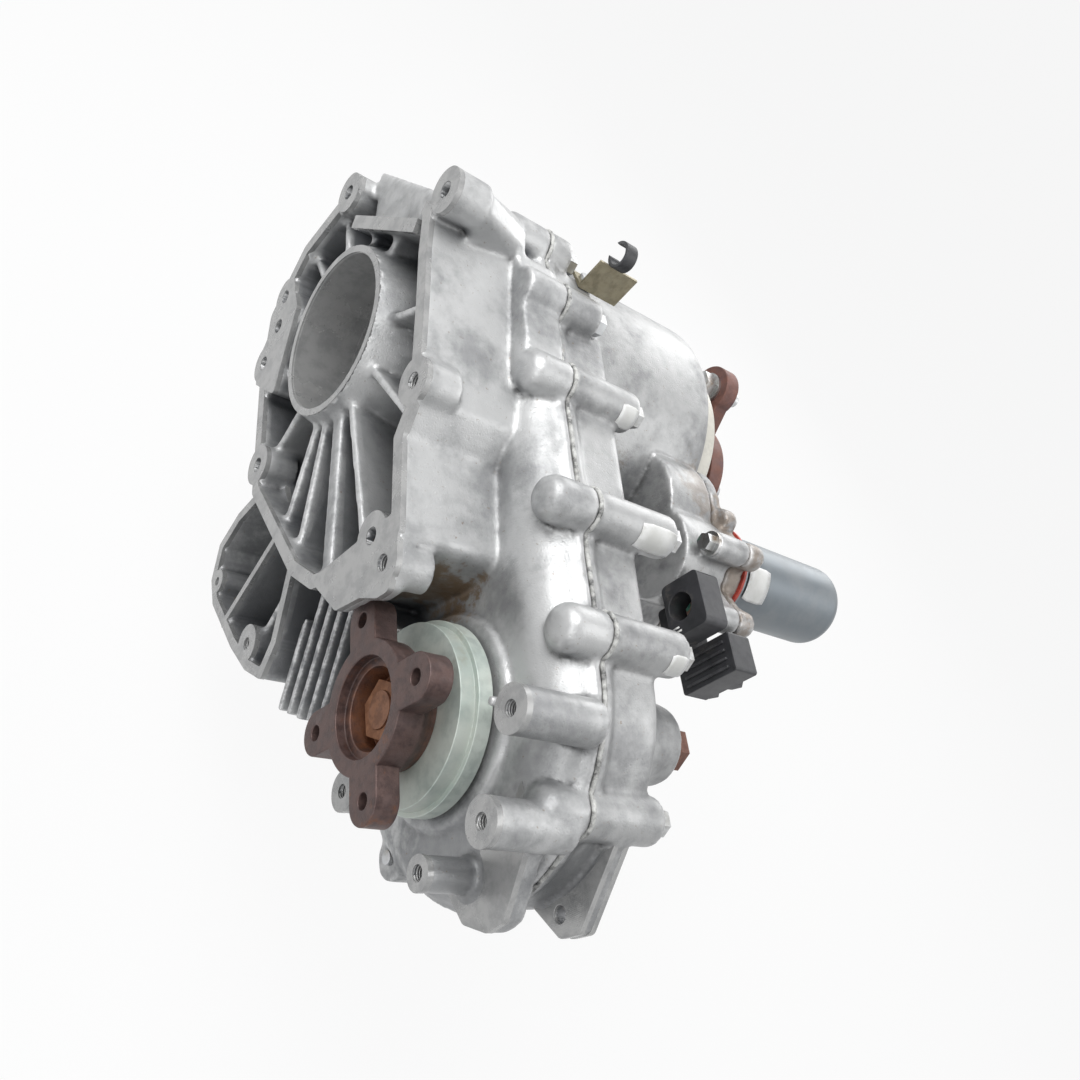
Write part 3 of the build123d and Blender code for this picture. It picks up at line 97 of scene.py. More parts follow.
def spread(tree, value, low, high, fromValue=0.0, toValue=1.0):  # an eased step between low and high
    made = addNode(tree, "ShaderNodeMapRange", interpolation_type="SMOOTHSTEP")
    for item, socket in zip((value, low, high, fromValue, toValue), made.inputs):
        feed(tree, item, socket)
    return made.outputs[0]


def blendColour(tree, amount, first, second):
    made = addNode(tree, "ShaderNodeMix", data_type="RGBA")
    feed(tree, amount, made.inputs[0])
    feed(tree, first, made.inputs[6])
    feed(tree, second, made.inputs[7])
    return made.outputs[2]


def layer(tree, colour, mask, amount, over):  # lays a second colour on where the mask says
    return blendColour(tree, times(tree, mask, amount), colour, over)


def speckle(tree, vector, scale, detail=3.0, rough=0.55):
    made = addNode(tree, "ShaderNodeTexNoise")
    feed(tree, vector, made.inputs["Vector"])
    feed(tree, scale, made.inputs["Scale"])
    made.inputs["Detail"].default_value = detail
    made.inputs["Roughness"].default_value = rough
    return made.outputs["Fac"]


def newGroup(name, inputs, outputs):
    group = bpy.data.node_groups.new(name, "ShaderNodeTree")
    for label, kind, value in inputs:
        socket = group.interface.new_socket(name=label, in_out="INPUT", socket_type=kind)
        if value is not None:
            socket.default_value = value
    for label, kind in outputs:
        group.interface.new_socket(name=label, in_out="OUTPUT", socket_type=kind)
    return group, addNode(group, "NodeGroupInput").outputs, addNode(group, "NodeGroupOutput").inputs


numberSocket, vectorSocket, materialSocket = "NodeSocketFloat", "NodeSocketVector", "NodeSocketMaterial"
grainShape = {"fineDetail": (4.0, 0.6), "broadScale": 0.16, "broadShare": 0.8, "fineShare": 0.7,
              "pitScale": 0.4, "pitEdge": (0.05, 0.30), "pitShare": 0.35}


def makeGrainGroup():  # sand cast skin: fine grain with a few pits
    shape = grainShape
    group, given, result = newGroup(
        "castGrain", [("Vector", vectorSocket, None), ("Scale", numberSocket, 900.0)],
        [("Height", numberSocket), ("Tone", numberSocket)])
    fine = speckle(group, given["Vector"], given["Scale"], *shape["fineDetail"])
    broad = speckle(group, given["Vector"], times(group, given["Scale"], shape["broadScale"]))
    pits = addNode(group, "ShaderNodeTexVoronoi")
    feed(group, given["Vector"], pits.inputs["Vector"])
    feed(group, times(group, given["Scale"], shape["pitScale"]), pits.inputs["Scale"])
    pitDepth = spread(group, pits.outputs["Distance"], *shape["pitEdge"])
    mixed = timesPlus(group, broad, shape["broadShare"], times(group, fine, shape["fineShare"]))
    feed(group, timesPlus(group, pitDepth, shape["pitShare"], mixed), result["Height"])
    feed(group, broad, result["Tone"])
    return group


wearShadeShape = {"edgeFrom": 0.505, "creaseFrom": 0.495, "breakScale": 160.0, "breakDetail": (4.0, 0.6),
             "edgeBreaks": (0.35, 0.6), "creaseBreaks": (0.25, 0.55)}


def makeWearShadeGroup():  # rubbed edges with a painted highlight, and dirt with painted shade in creases, from the mesh's pointiness
    shape = wearShadeShape
    group, given, result = newGroup(
        "edgeWearHighlightCreaseShade", [("Vector", vectorSocket, None), ("Pointiness", numberSocket, 0.5),
                     ("Edge", numberSocket, 0.56), ("Crease", numberSocket, 0.44)],
        [("WearAndHighlight", numberSocket), ("DirtAndShade", numberSocket)])
    broken = speckle(group, given["Vector"], shape["breakScale"], *shape["breakDetail"])
    edge = spread(group, given["Pointiness"], shape["edgeFrom"], given["Edge"])
    crease = spread(group, given["Pointiness"], shape["creaseFrom"], given["Crease"])
    feed(group, times(group, edge, spread(group, broken, *shape["edgeBreaks"])), result["WearAndHighlight"])
    feed(group, times(group, crease, spread(group, broken, *shape["creaseBreaks"])), result["DirtAndShade"])
    return group


spotShape = {"shakeScale": 110.0, "shakeDetail": (5.0, 0.65), "shake": 4.0, "edge": (1.0, 0.55)}


def makeSpotGroup():  # one ragged spot round a centre, such as an oil stain or a patch of painted shade
    shape = spotShape
    group, given, result = newGroup(
        "raggedSpot", [("Vector", vectorSocket, None), ("Centre", vectorSocket, None),
                       ("Radius", numberSocket, 0.02), ("Ragged", numberSocket, 0.5)],
        [("Mask", numberSocket)])
    away = addNode(group, "ShaderNodeVectorMath", operation="DISTANCE")
    feed(group, given["Vector"], away.inputs[0])
    feed(group, given["Centre"], away.inputs[1])
    near = calculate(group, "DIVIDE", away.outputs["Value"], given["Radius"])
    noise = speckle(group, given["Vector"], shape["shakeScale"], *shape["shakeDetail"])
    shake = calculate(group, "SUBTRACT", noise, 0.5)
    near = timesPlus(group, shake, times(group, given["Ragged"], shape["shake"]), near)
    feed(group, spread(group, near, *shape["edge"]), result["Mask"])
    return group


def offAxis(tree, position):  # squared distance from the X axis, and the position's three parts
    parts = addNode(tree, "ShaderNodeSeparateXYZ")
    feed(tree, position, parts.inputs[0])
    y, z = parts.outputs["Y"], parts.outputs["Z"]
    return timesPlus(tree, y, y, times(tree, z, z)), parts.outputs


turnedShape = {"wobbleScale": 60.0, "wobble": 3.0}


def makeTurnedGroup():  # fine rings of a lathe round an axis along X
    group, given, result = newGroup(
        "turnedRings", [("Vector", vectorSocket, None), ("Pitch", numberSocket, 0.0006)],
        [("Height", numberSocket)])
    squares, parts = offAxis(group, given["Vector"])
    travel = calculate(group, "ADD", calculate(group, "SQRT", squares), parts["X"])
    turns = calculate(group, "DIVIDE", times(group, travel, 2 * math.pi), given["Pitch"])
    noise = speckle(group, given["Vector"], turnedShape["wobbleScale"])
    wobble = times(group, noise, turnedShape["wobble"])
    feed(group, calculate(group, "SINE", calculate(group, "ADD", turns, wobble)), result["Height"])
    return group


grainGroup = makeGrainGroup()
wearShadeGroup = makeWearShadeGroup()
spotGroup = makeSpotGroup()
turnedGroup = makeTurnedGroup()


def place(tree, group, **values):
    made = addNode(tree, "ShaderNodeGroup", node_tree=group)
    for key, value in values.items():
        feed(tree, value, made.inputs[key])
    return made.outputs


def layerSpot(tree, colour, position, spot, ragged, over):
    centre, radius, strength = spot
    mask = place(tree, spotGroup, Vector=position, Centre=centre, Radius=radius, Ragged=ragged)["Mask"]
    return layer(tree, colour, mask, strength, over)


def startMaterial(name):
    material = bpy.data.materials.new(name)
    material.use_nodes = True
    tree = material.node_tree
    tree.nodes.clear()
    shader = addNode(tree, "ShaderNodeBsdfPrincipled")
    ending = addNode(tree, "ShaderNodeOutputMaterial")
    feed(tree, shader.outputs[0], ending.inputs[0])
    position = addNode(tree, "ShaderNodeTexCoord").outputs["Object"]
    pointiness = addNode(tree, "ShaderNodeNewGeometry").outputs["Pointiness"]
    return material, tree, shader, position, pointiness


def finishMaterial(tree, shader, colour, rough, metallic, height, depth):
    feed(tree, colour, shader.inputs["Base Color"])
    feed(tree, rough, shader.inputs["Roughness"])
    shader.inputs["Metallic"].default_value = metallic
    bump = addNode(tree, "ShaderNodeBump")
    bump.inputs["Strength"].default_value = 1.0
    bump.inputs["Distance"].default_value = depth
    feed(tree, height, bump.inputs["Height"])
    feed(tree, bump.outputs[0], shader.inputs["Normal"])


patchSpan = (0.3, 0.7)  # where patches change the roughness
noFace, allFace = -1.0, 9.0  # stations in front of and behind the whole part

# Spots are (centre, radius, strength)
castLook = {
    "light": (0.47, 0.475, 0.475), "dark": (0.21, 0.215, 0.22), "machined": (0.42, 0.42, 0.415),
    # painted light among these colours: the colour for recesses paints shade there, the colour for spots
    # on the lower parts paints shade, the near-black colour paints dirt and shade in creases, the pale
    # colour paints wear and a highlight on edges
    "paleWearHighlight": (0.74, 0.74, 0.74), "recess": (0.042, 0.048, 0.058), "spotShade": (0.15, 0.155, 0.165),
    "stain": (0.19, 0.125, 0.070), "sootShade": (0.022, 0.022, 0.023), "metallic": 0.4,
    "grainScale": 950.0, "grainDepth": 0.00022, "grainTone": 0.35,
    "patchScale": 22.0, "patchDetail": (6.0, 0.62), "patchEdge": (0.36, 0.58),
    "rough": (0.46, 0.32), "machinedRough": -0.14, "turnedPitch": 0.0009, "turnedShare": 0.05,
    "recessShake": 0.35, "recessEdge": (0.22, 0.72), "recessAmount": 0.90,
    "spotShadeRagged": 0.35, "stainRagged": 0.55, "wearHighlightEdge": 0.56, "dirtShadeCrease": 0.45,
    "dirtShadeAmount": 0.85, "wearHighlightAmount": 0.75, "boreRadius": 0.0524,
    "speckScale": 330.0, "speckDetail": (4.0, 0.7), "speckEdge": (0.63, 0.72), "speckAmount": 0.55,
    "scuffScale": 70.0, "scuffDetail": (8.0, 0.7), "scuffEdge": (0.42, 0.62), "scuffAmount": 0.45,
    "frontStains": [((0.045, -0.186, 0.020), 0.030, 0.7), ((0.070, -0.176, 0.030), 0.026, 0.7),
                    ((0.030, -0.19, 0.035), 0.016, 0.5), ((0.056, 0.02, -0.03), 0.05, 0.35)],
    "rearStains": [((0.150, -0.10, 0.06), 0.035, 0.4), ((0.24, -0.09, 0.09), 0.03, 0.35)],
    "actuatorStains": [((0.235, -0.150, 0.060), 0.075, 0.55)],
    "boreStains": [((0.030, 0.045, -0.02), 0.030, 0.35), ((0.045, -0.03, -0.045), 0.035, 0.45)],
    # painted shade: darker patches on the lower parts of each casting
    "frontSpotShade": [((0.060, -0.345, -0.010), 0.075, 0.60), ((0.050, -0.120, -0.150), 0.110, 0.50),
                   ((0.060, -0.260, -0.090), 0.060, 0.55), ((0.030, -0.200, -0.060), 0.050, 0.45)],
    "rearSpotShade": [((0.120, -0.350, 0.000), 0.080, 0.50), ((0.190, -0.100, -0.020), 0.090, 0.55),
                  ((0.140, -0.200, -0.090), 0.120, 0.45)],
    "actuatorSpotShade": [((0.245, -0.150, 0.050), 0.080, 0.45)],
}


# The face is machined in front of machinedFace, the bore as far back as boreEnd
def makeCastMaterial(name, stains, spotShade, machinedFace, boreEnd=0.0, paintedShadeScale=1.0):
    look = castLook
    material, tree, shader, position, pointiness = startMaterial(name)
    grain = place(tree, grainGroup, Vector=position, Scale=look["grainScale"])
    wearAndShade = place(tree, wearShadeGroup, Vector=position, Pointiness=pointiness, Edge=look["wearHighlightEdge"],
                 Crease=look["dirtShadeCrease"])
    # a lightness below one paints shade by darkening the whole finish
    light = tuple(value * paintedShadeScale for value in look["light"])
    dark = tuple(value * paintedShadeScale for value in look["dark"])
    patches = speckle(tree, position, look["patchScale"], *look["patchDetail"])
    colour = blendColour(tree, spread(tree, patches, *look["patchEdge"]), dark, light)
    colour = layer(tree, colour, grain["Tone"], look["grainTone"], look["paleWearHighlight"])
    # painted shade in recesses, from the occlusion baked onto the mesh
    occlusionMask = addNode(tree, "ShaderNodeAttribute", attribute_name="recess").outputs["Fac"]
    occlusionMask = timesPlus(tree, calculate(tree, "SUBTRACT", patches, 0.5), look["recessShake"], occlusionMask)
    occlusionMask = spread(tree, occlusionMask, *look["recessEdge"])
    colour = layer(tree, colour, occlusionMask, look["recessAmount"], look["recess"])
    # painted shade in patches on the lower parts
    for spot in spotShade:
        colour = layerSpot(tree, colour, position, spot, look["spotShadeRagged"], look["spotShade"])
    for spot in stains:
        colour = layerSpot(tree, colour, position, spot, look["stainRagged"], look["stain"])
    # dirt and painted shade in creases
    colour = layer(tree, colour, wearAndShade["DirtAndShade"], look["dirtShadeAmount"], look["sootShade"])
    specks = speckle(tree, position, look["speckScale"], *look["speckDetail"])
    specks = spread(tree, specks, *look["speckEdge"])
    colour = layer(tree, colour, specks, look["speckAmount"], look["stain"])
    # wear and a painted highlight on rounded edges
    colour = layer(tree, colour, wearAndShade["WearAndHighlight"], look["wearHighlightAmount"], look["paleWearHighlight"])
    squares, parts = offAxis(tree, position)
    machined = calculate(tree, "LESS_THAN", parts["X"], machinedFace)
    if boreEnd:
        inside = calculate(tree, "LESS_THAN", squares, look["boreRadius"] ** 2)
        inside = times(tree, inside, calculate(tree, "LESS_THAN", parts["X"], boreEnd))
        machined = calculate(tree, "MAXIMUM", machined, inside)
    scuffs = speckle(tree, position, look["scuffScale"], *look["scuffDetail"])
    scuffs = spread(tree, scuffs, *look["scuffEdge"])
    smooth = layer(tree, look["machined"], scuffs, look["scuffAmount"], look["dark"])
    colour = blendColour(tree, machined, colour, smooth)
    rough = spread(tree, patches, *patchSpan, *look["rough"])
    rough = timesPlus(tree, machined, look["machinedRough"], rough)
    rings = place(tree, turnedGroup, Vector=position, Pitch=look["turnedPitch"])["Height"]
    cast = times(tree, grain["Height"], calculate(tree, "SUBTRACT", 1.0, machined))
    height = timesPlus(tree, rings, times(tree, machined, look["turnedShare"]), cast)
    finishMaterial(tree, shader, colour, rough, look["metallic"], height, look["grainDepth"])
    return material


metalLook = {"wearHighlightEdge": 0.60, "dirtShadeCrease": 0.42, "dirtShadeAmount": 0.6, "wearHighlightAmount": 0.7,
             "patchDetail": (5.0, 0.65), "patchEdge": (0.38, 0.62), "roughBelow": 0.06,
             "roughAbove": 0.08, "blotScale": 0.4, "blotDetail": (6.0, 0.7), "blotFrom": 0.62,
             "blotGrowth": 0.3, "blotTo": 0.72, "spotRagged": 0.2, "highlightGain": 1.6, "lift": 0.05,
             "turnedShare": 0.6}


def makeMetal(name, colour, second, metallic, rough, scale=90.0, grainScale=1500.0, grainDepth=0.00006,
              stain=None, stainAmount=0.0, turned=0.0, spots=()):
    look = metalLook
    material, tree, shader, position, pointiness = startMaterial(name)
    grain = place(tree, grainGroup, Vector=position, Scale=grainScale)
    wearAndShade = place(tree, wearShadeGroup, Vector=position, Pointiness=pointiness, Edge=look["wearHighlightEdge"],
                 Crease=look["dirtShadeCrease"])
    patches = speckle(tree, position, scale, *look["patchDetail"])
    mixed = blendColour(tree, spread(tree, patches, *look["patchEdge"]), colour, second)
    if stain:
        blots = speckle(tree, position, scale * look["blotScale"], *look["blotDetail"])
        start = look["blotFrom"] - look["blotGrowth"] * stainAmount
        mixed = blendColour(tree, spread(tree, blots, start, look["blotTo"]), mixed, stain)
    for centre, radius, strength, spotColour in spots:
        spot = (centre, radius, strength)
        mixed = layerSpot(tree, mixed, position, spot, look["spotRagged"], spotColour)
    # dirt and painted shade in creases
    mixed = layer(tree, mixed, wearAndShade["DirtAndShade"], look["dirtShadeAmount"], castLook["sootShade"])
    # wear and painted glints on edges, in a lighter copy of the colour
    wornHighlightTone = tuple(min(1.0, value * look["highlightGain"] + look["lift"]) for value in colour)
    mixed = layer(tree, mixed, wearAndShade["WearAndHighlight"], look["wearHighlightAmount"], wornHighlightTone)
    shine = spread(tree, patches, *patchSpan, rough - look["roughBelow"], rough + look["roughAbove"])
    height = grain["Height"]
    if turned:
        rings = place(tree, turnedGroup, Vector=position, Pitch=turned)["Height"]
        height = timesPlus(tree, rings, look["turnedShare"], height)
    finishMaterial(tree, shader, mixed, shine, metallic, height, grainDepth)
    return material


# The record's slots, each with its own look. On zinc, one bolt is copper coloured and two are
# dabbed green.
rustSkin = {"scale": 160.0, "grainScale": 1100.0, "grainDepth": 0.00014, "stainAmount": 0.3}
shieldSkin = {"scale": 40.0, "grainScale": 800.0, "grainDepth": 0.00004, "stainAmount": 0.15}
copperTone, greenTone = (0.50, 0.22, 0.10), (0.16, 0.55, 0.40)
finishPlan = {
    "machined_steel": dict(
        name="turnedSteel", colour=(0.46, 0.46, 0.47), second=(0.36, 0.36, 0.37), metallic=1.0,
        rough=0.34, turned=0.0007),
    "bearing_steel": dict(
        name="bearingSteel", colour=(0.56, 0.57, 0.59), second=(0.44, 0.44, 0.46), metallic=1.0,
        rough=0.26),
    "zinc_steel": dict(
        name="zincSteel", colour=(0.50, 0.51, 0.52), second=(0.36, 0.36, 0.35), metallic=1.0, rough=0.34,
        stain=(0.22, 0.16, 0.10), stainAmount=0.25,
        spots=[((0.207, -0.186, 0.072), 0.020, 0.85, copperTone),
               ((0.205, -0.1415, 0.0880), 0.0042, 1.0, greenTone),
               ((0.205, -0.1815, 0.0685), 0.0042, 1.0, greenTone)]),
    "rusted_steel": dict(
        name="rustedFlange", colour=(0.075, 0.048, 0.045), second=(0.125, 0.080, 0.072), metallic=0.5,
        rough=0.46, scale=140.0, grainScale=1100.0, grainDepth=0.00020, stain=(0.20, 0.085, 0.045),
        stainAmount=0.15, spots=[((0.036, -0.252, 0.0), 0.034, 0.85, (0.27, 0.11, 0.05))]),
    "rear_flange_steel": dict(
        rustSkin, name="rustedRearFlange", colour=(0.13, 0.065, 0.055), second=(0.19, 0.09, 0.07),
        metallic=0.40, rough=0.58, stain=(0.10, 0.06, 0.075), scale=120.0),
    "shield_steel": dict(
        shieldSkin, name="paleShield", colour=(0.44, 0.50, 0.46), second=(0.54, 0.58, 0.53),
        metallic=0.2, rough=0.36, stain=(0.33, 0.32, 0.24)),
    "seal_rubber": dict(
        name="sealRubber", colour=(0.022, 0.022, 0.024), second=(0.035, 0.034, 0.034), metallic=0.0,
        rough=0.62),
    "gasket_red": dict(
        name="redGasket", colour=(0.42, 0.05, 0.03), second=(0.30, 0.04, 0.03), metallic=0.0, rough=0.55),
    "motor_can_paint": dict(
        name="paintedCan", colour=(0.175, 0.20, 0.22), second=(0.215, 0.235, 0.25), metallic=0.4,
        rough=0.38, scale=30.0, grainScale=700.0, grainDepth=0.00003, stain=(0.09, 0.10, 0.11),
        stainAmount=0.2),
    "black_plastic": dict(
        name="blackPlastic", colour=(0.028, 0.029, 0.032), second=(0.04, 0.04, 0.045), metallic=0.0,
        rough=0.46, scale=60.0, grainScale=1400.0, grainDepth=0.00005, stain=(0.12, 0.11, 0.10),
        stainAmount=0.1),
    "friction_lining": dict(
        name="frictionLining", colour=(0.16, 0.11, 0.07), second=(0.12, 0.085, 0.06), metallic=0.1,
        rough=0.7),
    "magnet": dict(
        name="magnetBlock", colour=(0.06, 0.06, 0.065), second=(0.08, 0.08, 0.085), metallic=0.5,
        rough=0.5),
    "olive_sheet": dict(
        name="oliveSheet", colour=(0.24, 0.21, 0.14), second=(0.32, 0.29, 0.21), metallic=0.7, rough=0.42,
        stain=(0.12, 0.09, 0.06), stainAmount=0.2),
}
finishes = {slot: makeMetal(**plan) for slot, plan in finishPlan.items()}
frontCast = makeCastMaterial("frontCastAluminium", castLook["frontStains"], castLook["frontSpotShade"],
                             machinedFace=0.0004, boreEnd=0.059)
# the rear case, actuator and bore take darker copies of the cast finish: painted shade
rearCast = makeCastMaterial("rearCastAluminium", castLook["rearStains"], castLook["rearSpotShade"], noFace,
                            paintedShadeScale=0.76)
actuatorCast = makeCastMaterial("actuatorCastAluminium", castLook["actuatorStains"],
                                castLook["actuatorSpotShade"], noFace, paintedShadeScale=0.78)
machinedCast = makeCastMaterial("machinedFaceAluminium", [], [], allFace)
boreCast = makeCastMaterial("turnedBoreAluminium", castLook["boreStains"], [], allFace, paintedShadeScale=0.9)
sealantGrey = makeMetal("sealantBead", (0.50, 0.50, 0.48), (0.10, 0.10, 0.10), metallic=0.0,
                        rough=0.50, scale=260.0, grainScale=900.0, grainDepth=0.0001)
stickerPaper = makeMetal("stickerPaper", (0.78, 0.78, 0.76), (0.70, 0.70, 0.67), metallic=0.0,
                         rough=0.45, scale=60.0, grainScale=900.0, grainDepth=0.00001)
ownFinish = {  # nodes that look unlike the rest of their slot
    "rear_dust_shield": makeMetal(
        "creamShield", (0.60, 0.58, 0.52), (0.52, 0.50, 0.44), metallic=0.1, rough=0.42,
        stain=(0.30, 0.27, 0.20), **shieldSkin),
    "front_flange_nut": makeMetal(
        "rustedNut", (0.20, 0.085, 0.04), (0.30, 0.14, 0.07), metallic=0.35, rough=0.6,
        stain=(0.10, 0.05, 0.04), **rustSkin),
    "front_output_shaft": makeMetal(
        "rustedShaftEnd", (0.17, 0.075, 0.04), (0.26, 0.12, 0.06), metallic=0.4, rough=0.55,
        stain=(0.09, 0.05, 0.04), **rustSkin),
    "filler_plug": makeMetal(
        "rustedPlug", (0.13, 0.06, 0.045), (0.20, 0.10, 0.07), metallic=0.35, rough=0.6,
        stain=(0.08, 0.05, 0.045), **rustSkin),
}
finishes["cast_aluminium"] = rearCast
print("materials ready:", len(bpy.data.materials))

slotOf = {entry["node"]: entry["material_slot"] for entry in frame["record"]["subparts"]}


def finishOf(nodeName):
    return ownFinish.get(nodeName, finishes[slotOf[nodeName]])


for nodeName, node in nodes.items():
    node.data.materials.clear()
    node.data.materials.append(finishOf(nodeName))

# Meshes

def bodyOfNode(nodeName):
    for body, members in frame["record"]["behaviour"]["bodies"].items():
        if nodeName in members:
            return body


def newPiece(name, mesh):
    piece = bpy.data.objects.new(name, mesh)
    scene.collection.objects.link(piece)
    return piece


def builtPiece(name, build):  # a finished build becomes a piece of its own
    mesh = bpy.data.meshes.new(name)
    build.to_mesh(mesh)
    build.free()
    return newPiece(name, mesh)


def mergedCopy(nodeName, name):  # a node's own copy with its loose triangles joined
    mesh = nodes[nodeName].data.copy()
    mesh.name = name
    build = bmesh.new()
    build.from_mesh(mesh)
    bmesh.ops.remove_doubles(build, verts=build.verts, dist=1e-6)
    build.to_mesh(mesh)
    build.free()
    return newPiece(name, mesh)


def applied(piece):  # bakes the modifiers into a plain mesh
    graph = bpy.context.evaluated_depsgraph_get()
    mesh = bpy.data.meshes.new_from_object(piece.evaluated_get(graph), depsgraph=graph)
    old = piece.data
    piece.modifiers.clear()
    piece.data = mesh
    bpy.data.meshes.remove(old)


def addBevel(piece, width, sharpAngle=30):
    bevel = piece.modifiers.new("bevel", "BEVEL")
    bevel.width = width
    bevel.segments = 2
    bevel.limit_method = "ANGLE"
    bevel.angle_limit = math.radians(sharpAngle)


def addCut(piece, corners):  # faces with this many corners or more become triangles
    cut = piece.modifiers.new("cut", "TRIANGULATE")
    cut.min_vertices = corners


def thicken(piece, thickness):  # inwards, away from the outer side
    thick = piece.modifiers.new("thick", "SOLIDIFY")
    thick.thickness = thickness
    thick.offset = -1


def smoothShading(piece):  # broad faces keep their own direction beside rounded edges
    piece.data.shade_smooth()
    weigh = piece.modifiers.new("weigh", "WEIGHTED_NORMAL")
    weigh.weight = 60
    applied(piece)


def settle(piece, body, material, slotName, *stoodFor):
    piece.data.materials.clear()
    piece.data.materials.append(material)
    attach(piece, body)
    if stoodFor:
        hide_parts(*stoodFor)


def meshEdges(mesh):  # the two point numbers of every edge
    edges = np.zeros(len(mesh.edges) * 2, np.int32)
    mesh.edges.foreach_get("vertices", edges)
    return edges.reshape(-1, 2)


castShape = {"voxel": 0.0017, "rounding": 7, "easing": 0.5, "triangles": 185000,
             "actuatorTriangles": 60000, "boreCatch": 0.0012, "boreLead": 0.001,
             "faceCatch": 0.0013, "faceStation": 0.0003}
# rays for the occlusion that paints shade in recesses
recessLook = {"reach": 0.060, "directions": 26, "every": 3, "smoothing": 3, "lift": 0.0012,
              "grazing": 0.15, "farShare": 0.6}


def evenDirections(count):  # spread evenly over a sphere
    rays = []
    for index in range(count):
        height = 1 - (2 * index + 1) / count
        angle = index * math.pi * (3 - math.sqrt(5))
        flat = math.sqrt(1 - height * height)
        rays.append(Vector((flat * math.cos(angle), flat * math.sin(angle), height)))
    return rays


def bakeOcclusionShade(piece):  # how closed in each point is: an occlusion kept on the mesh, which the cast finish turns into painted shade
    mesh = piece.data
    look = recessLook
    reach = look["reach"]
    points = [vertex.co.copy() for vertex in mesh.vertices]
    normals = [vertex.normal.copy() for vertex in mesh.vertices]
    tree = BVHTree.FromPolygons(points, [tuple(polygon.vertices) for polygon in mesh.polygons])
    rays = evenDirections(look["directions"])
    tested = range(0, len(points), look["every"])
    nearby = KDTree(len(tested))
    found = []
    for order, index in enumerate(tested):
        start = points[index] + normals[index] * look["lift"]
        total, closed = 1e-6, 0.0
        for ray in rays:
            share = ray.dot(normals[index])
            if share > look["grazing"]:
                total += share
                distance = tree.ray_cast(start, ray, reach)[3]
                if distance is not None:
                    closed += share * (1 - look["farShare"] * distance / reach)
        found.append(closed / total)
        nearby.insert(points[index], order)
    nearby.balance()
    values = np.array([found[nearby.find(point)[1]] for point in points])
    edges = meshEdges(mesh)
    degree = np.bincount(edges.ravel(), minlength=len(points)).clip(1)
    for step in range(look["smoothing"]):
        total = np.bincount(edges[:, 0], values[edges[:, 1]], len(points))
        total += np.bincount(edges[:, 1], values[edges[:, 0]], len(points))
        values = 0.5 * values + 0.5 * total / degree
    kept = mesh.attributes.new("recess", "FLOAT", "POINT")
    kept.data.foreach_set("value", values.astype(np.float32))


# Voxels and a few smoothing rounds give a casting its soft edges. flats are (axis, level, reach),
# bores are (y, z, radius, front, rear).
def softenCasting(nodeName, name, material, flats, bores, triangles):
    shape = castShape
    piece = mergedCopy(nodeName, name)
    cut = piece.modifiers.new("voxels", "REMESH")
    cut.mode = "VOXEL"
    cut.voxel_size = shape["voxel"]
    applied(piece)
    mesh = piece.data
    edges = meshEdges(mesh)
    points = np.zeros(len(mesh.vertices) * 3)
    mesh.vertices.foreach_get("co", points)
    points = points.reshape(-1, 3)
    count = np.bincount(edges.ravel(), minlength=len(points)).clip(1)[:, None]
    for step in range(shape["rounding"]):
        total = np.zeros_like(points)
        np.add.at(total, edges[:, 0], points[edges[:, 1]])
        np.add.at(total, edges[:, 1], points[edges[:, 0]])
        points += shape["easing"] * (total / count - points)
    for axis, level, reach in flats:  # machined faces stay flat
        near = np.abs(points[:, axis] - level) < reach
        points[near, axis] = level
    for y, z, radius, front, rear in bores:  # machined holes stay round
        off = points[:, 1:] - (y, z)
        distance = np.linalg.norm(off, axis=1)
        near = np.abs(distance - radius) < shape["boreCatch"]
        near &= (points[:, 0] > front - shape["boreLead"]) & (points[:, 0] < rear)
        points[near, 1:] = (y, z) + off[near] * (radius / distance[near])[:, None]
    mesh.vertices.foreach_set("co", points.ravel())
    mesh.update()
    thin = piece.modifiers.new("thin", "DECIMATE")
    mesh.calc_loop_triangles()
    thin.ratio = min(1.0, triangles / len(mesh.loop_triangles))
    thin.use_collapse_triangulate = True
    applied(piece)
    smoothShading(piece)
    # bakes the occlusion that the cast finish paints as shade
    bakeOcclusionShade(piece)
    print("casting", name, len(piece.data.polygons), "triangles")
    settle(piece, bodyOfNode(nodeName), material, "cast_aluminium", nodeName)


plainHole, plainDepth = 0.0051, 0.024
caseThread, caseThreadDepth = 0.0050, 0.022
stayThread, stayThreadDepth = 0.0042, 0.0215
gearboxHoles = [(0.005, 0.125), (0.102, 0.027), (0.081, -0.061), (0.061, -0.071), (0.043, -0.093),
                (-0.042, -0.099), (-0.172, 0.034)]
gearboxThreads = [(-0.193, 0.043), (-0.101, 0.081)]
frontBores = [(y, z, plainHole, 0.0, plainDepth) for y, z in gearboxHoles]
frontBores += [(y, z, caseThread, 0.0, caseThreadDepth) for y, z in gearboxThreads]
frontBores += [(0.0, 0.0, 0.052, 0.0, 0.058)]
frontBores += [(-0.285, 0.091, stayThread, 0.032, 0.05), (-0.327, 0.061, stayThread, 0.032, 0.05),
               (-0.336, 0.008, stayThread, 0.034, 0.052), (-0.265, -0.085, stayThread, 0.05, 0.07)]
gearboxFace = (0, castShape["faceStation"], castShape["faceCatch"])
softenCasting("front_case", "frontCasting", frontCast, [gearboxFace], frontBores, castShape["triangles"])
softenCasting("rear_case", "rearCasting", rearCast, [], [(-0.3545, 0.0155, 0.0045, 0.114, 0.124)],
              castShape["triangles"])
softenCasting("actuator_housing", "actuatorCasting", actuatorCast, [], [], castShape["actuatorTriangles"])

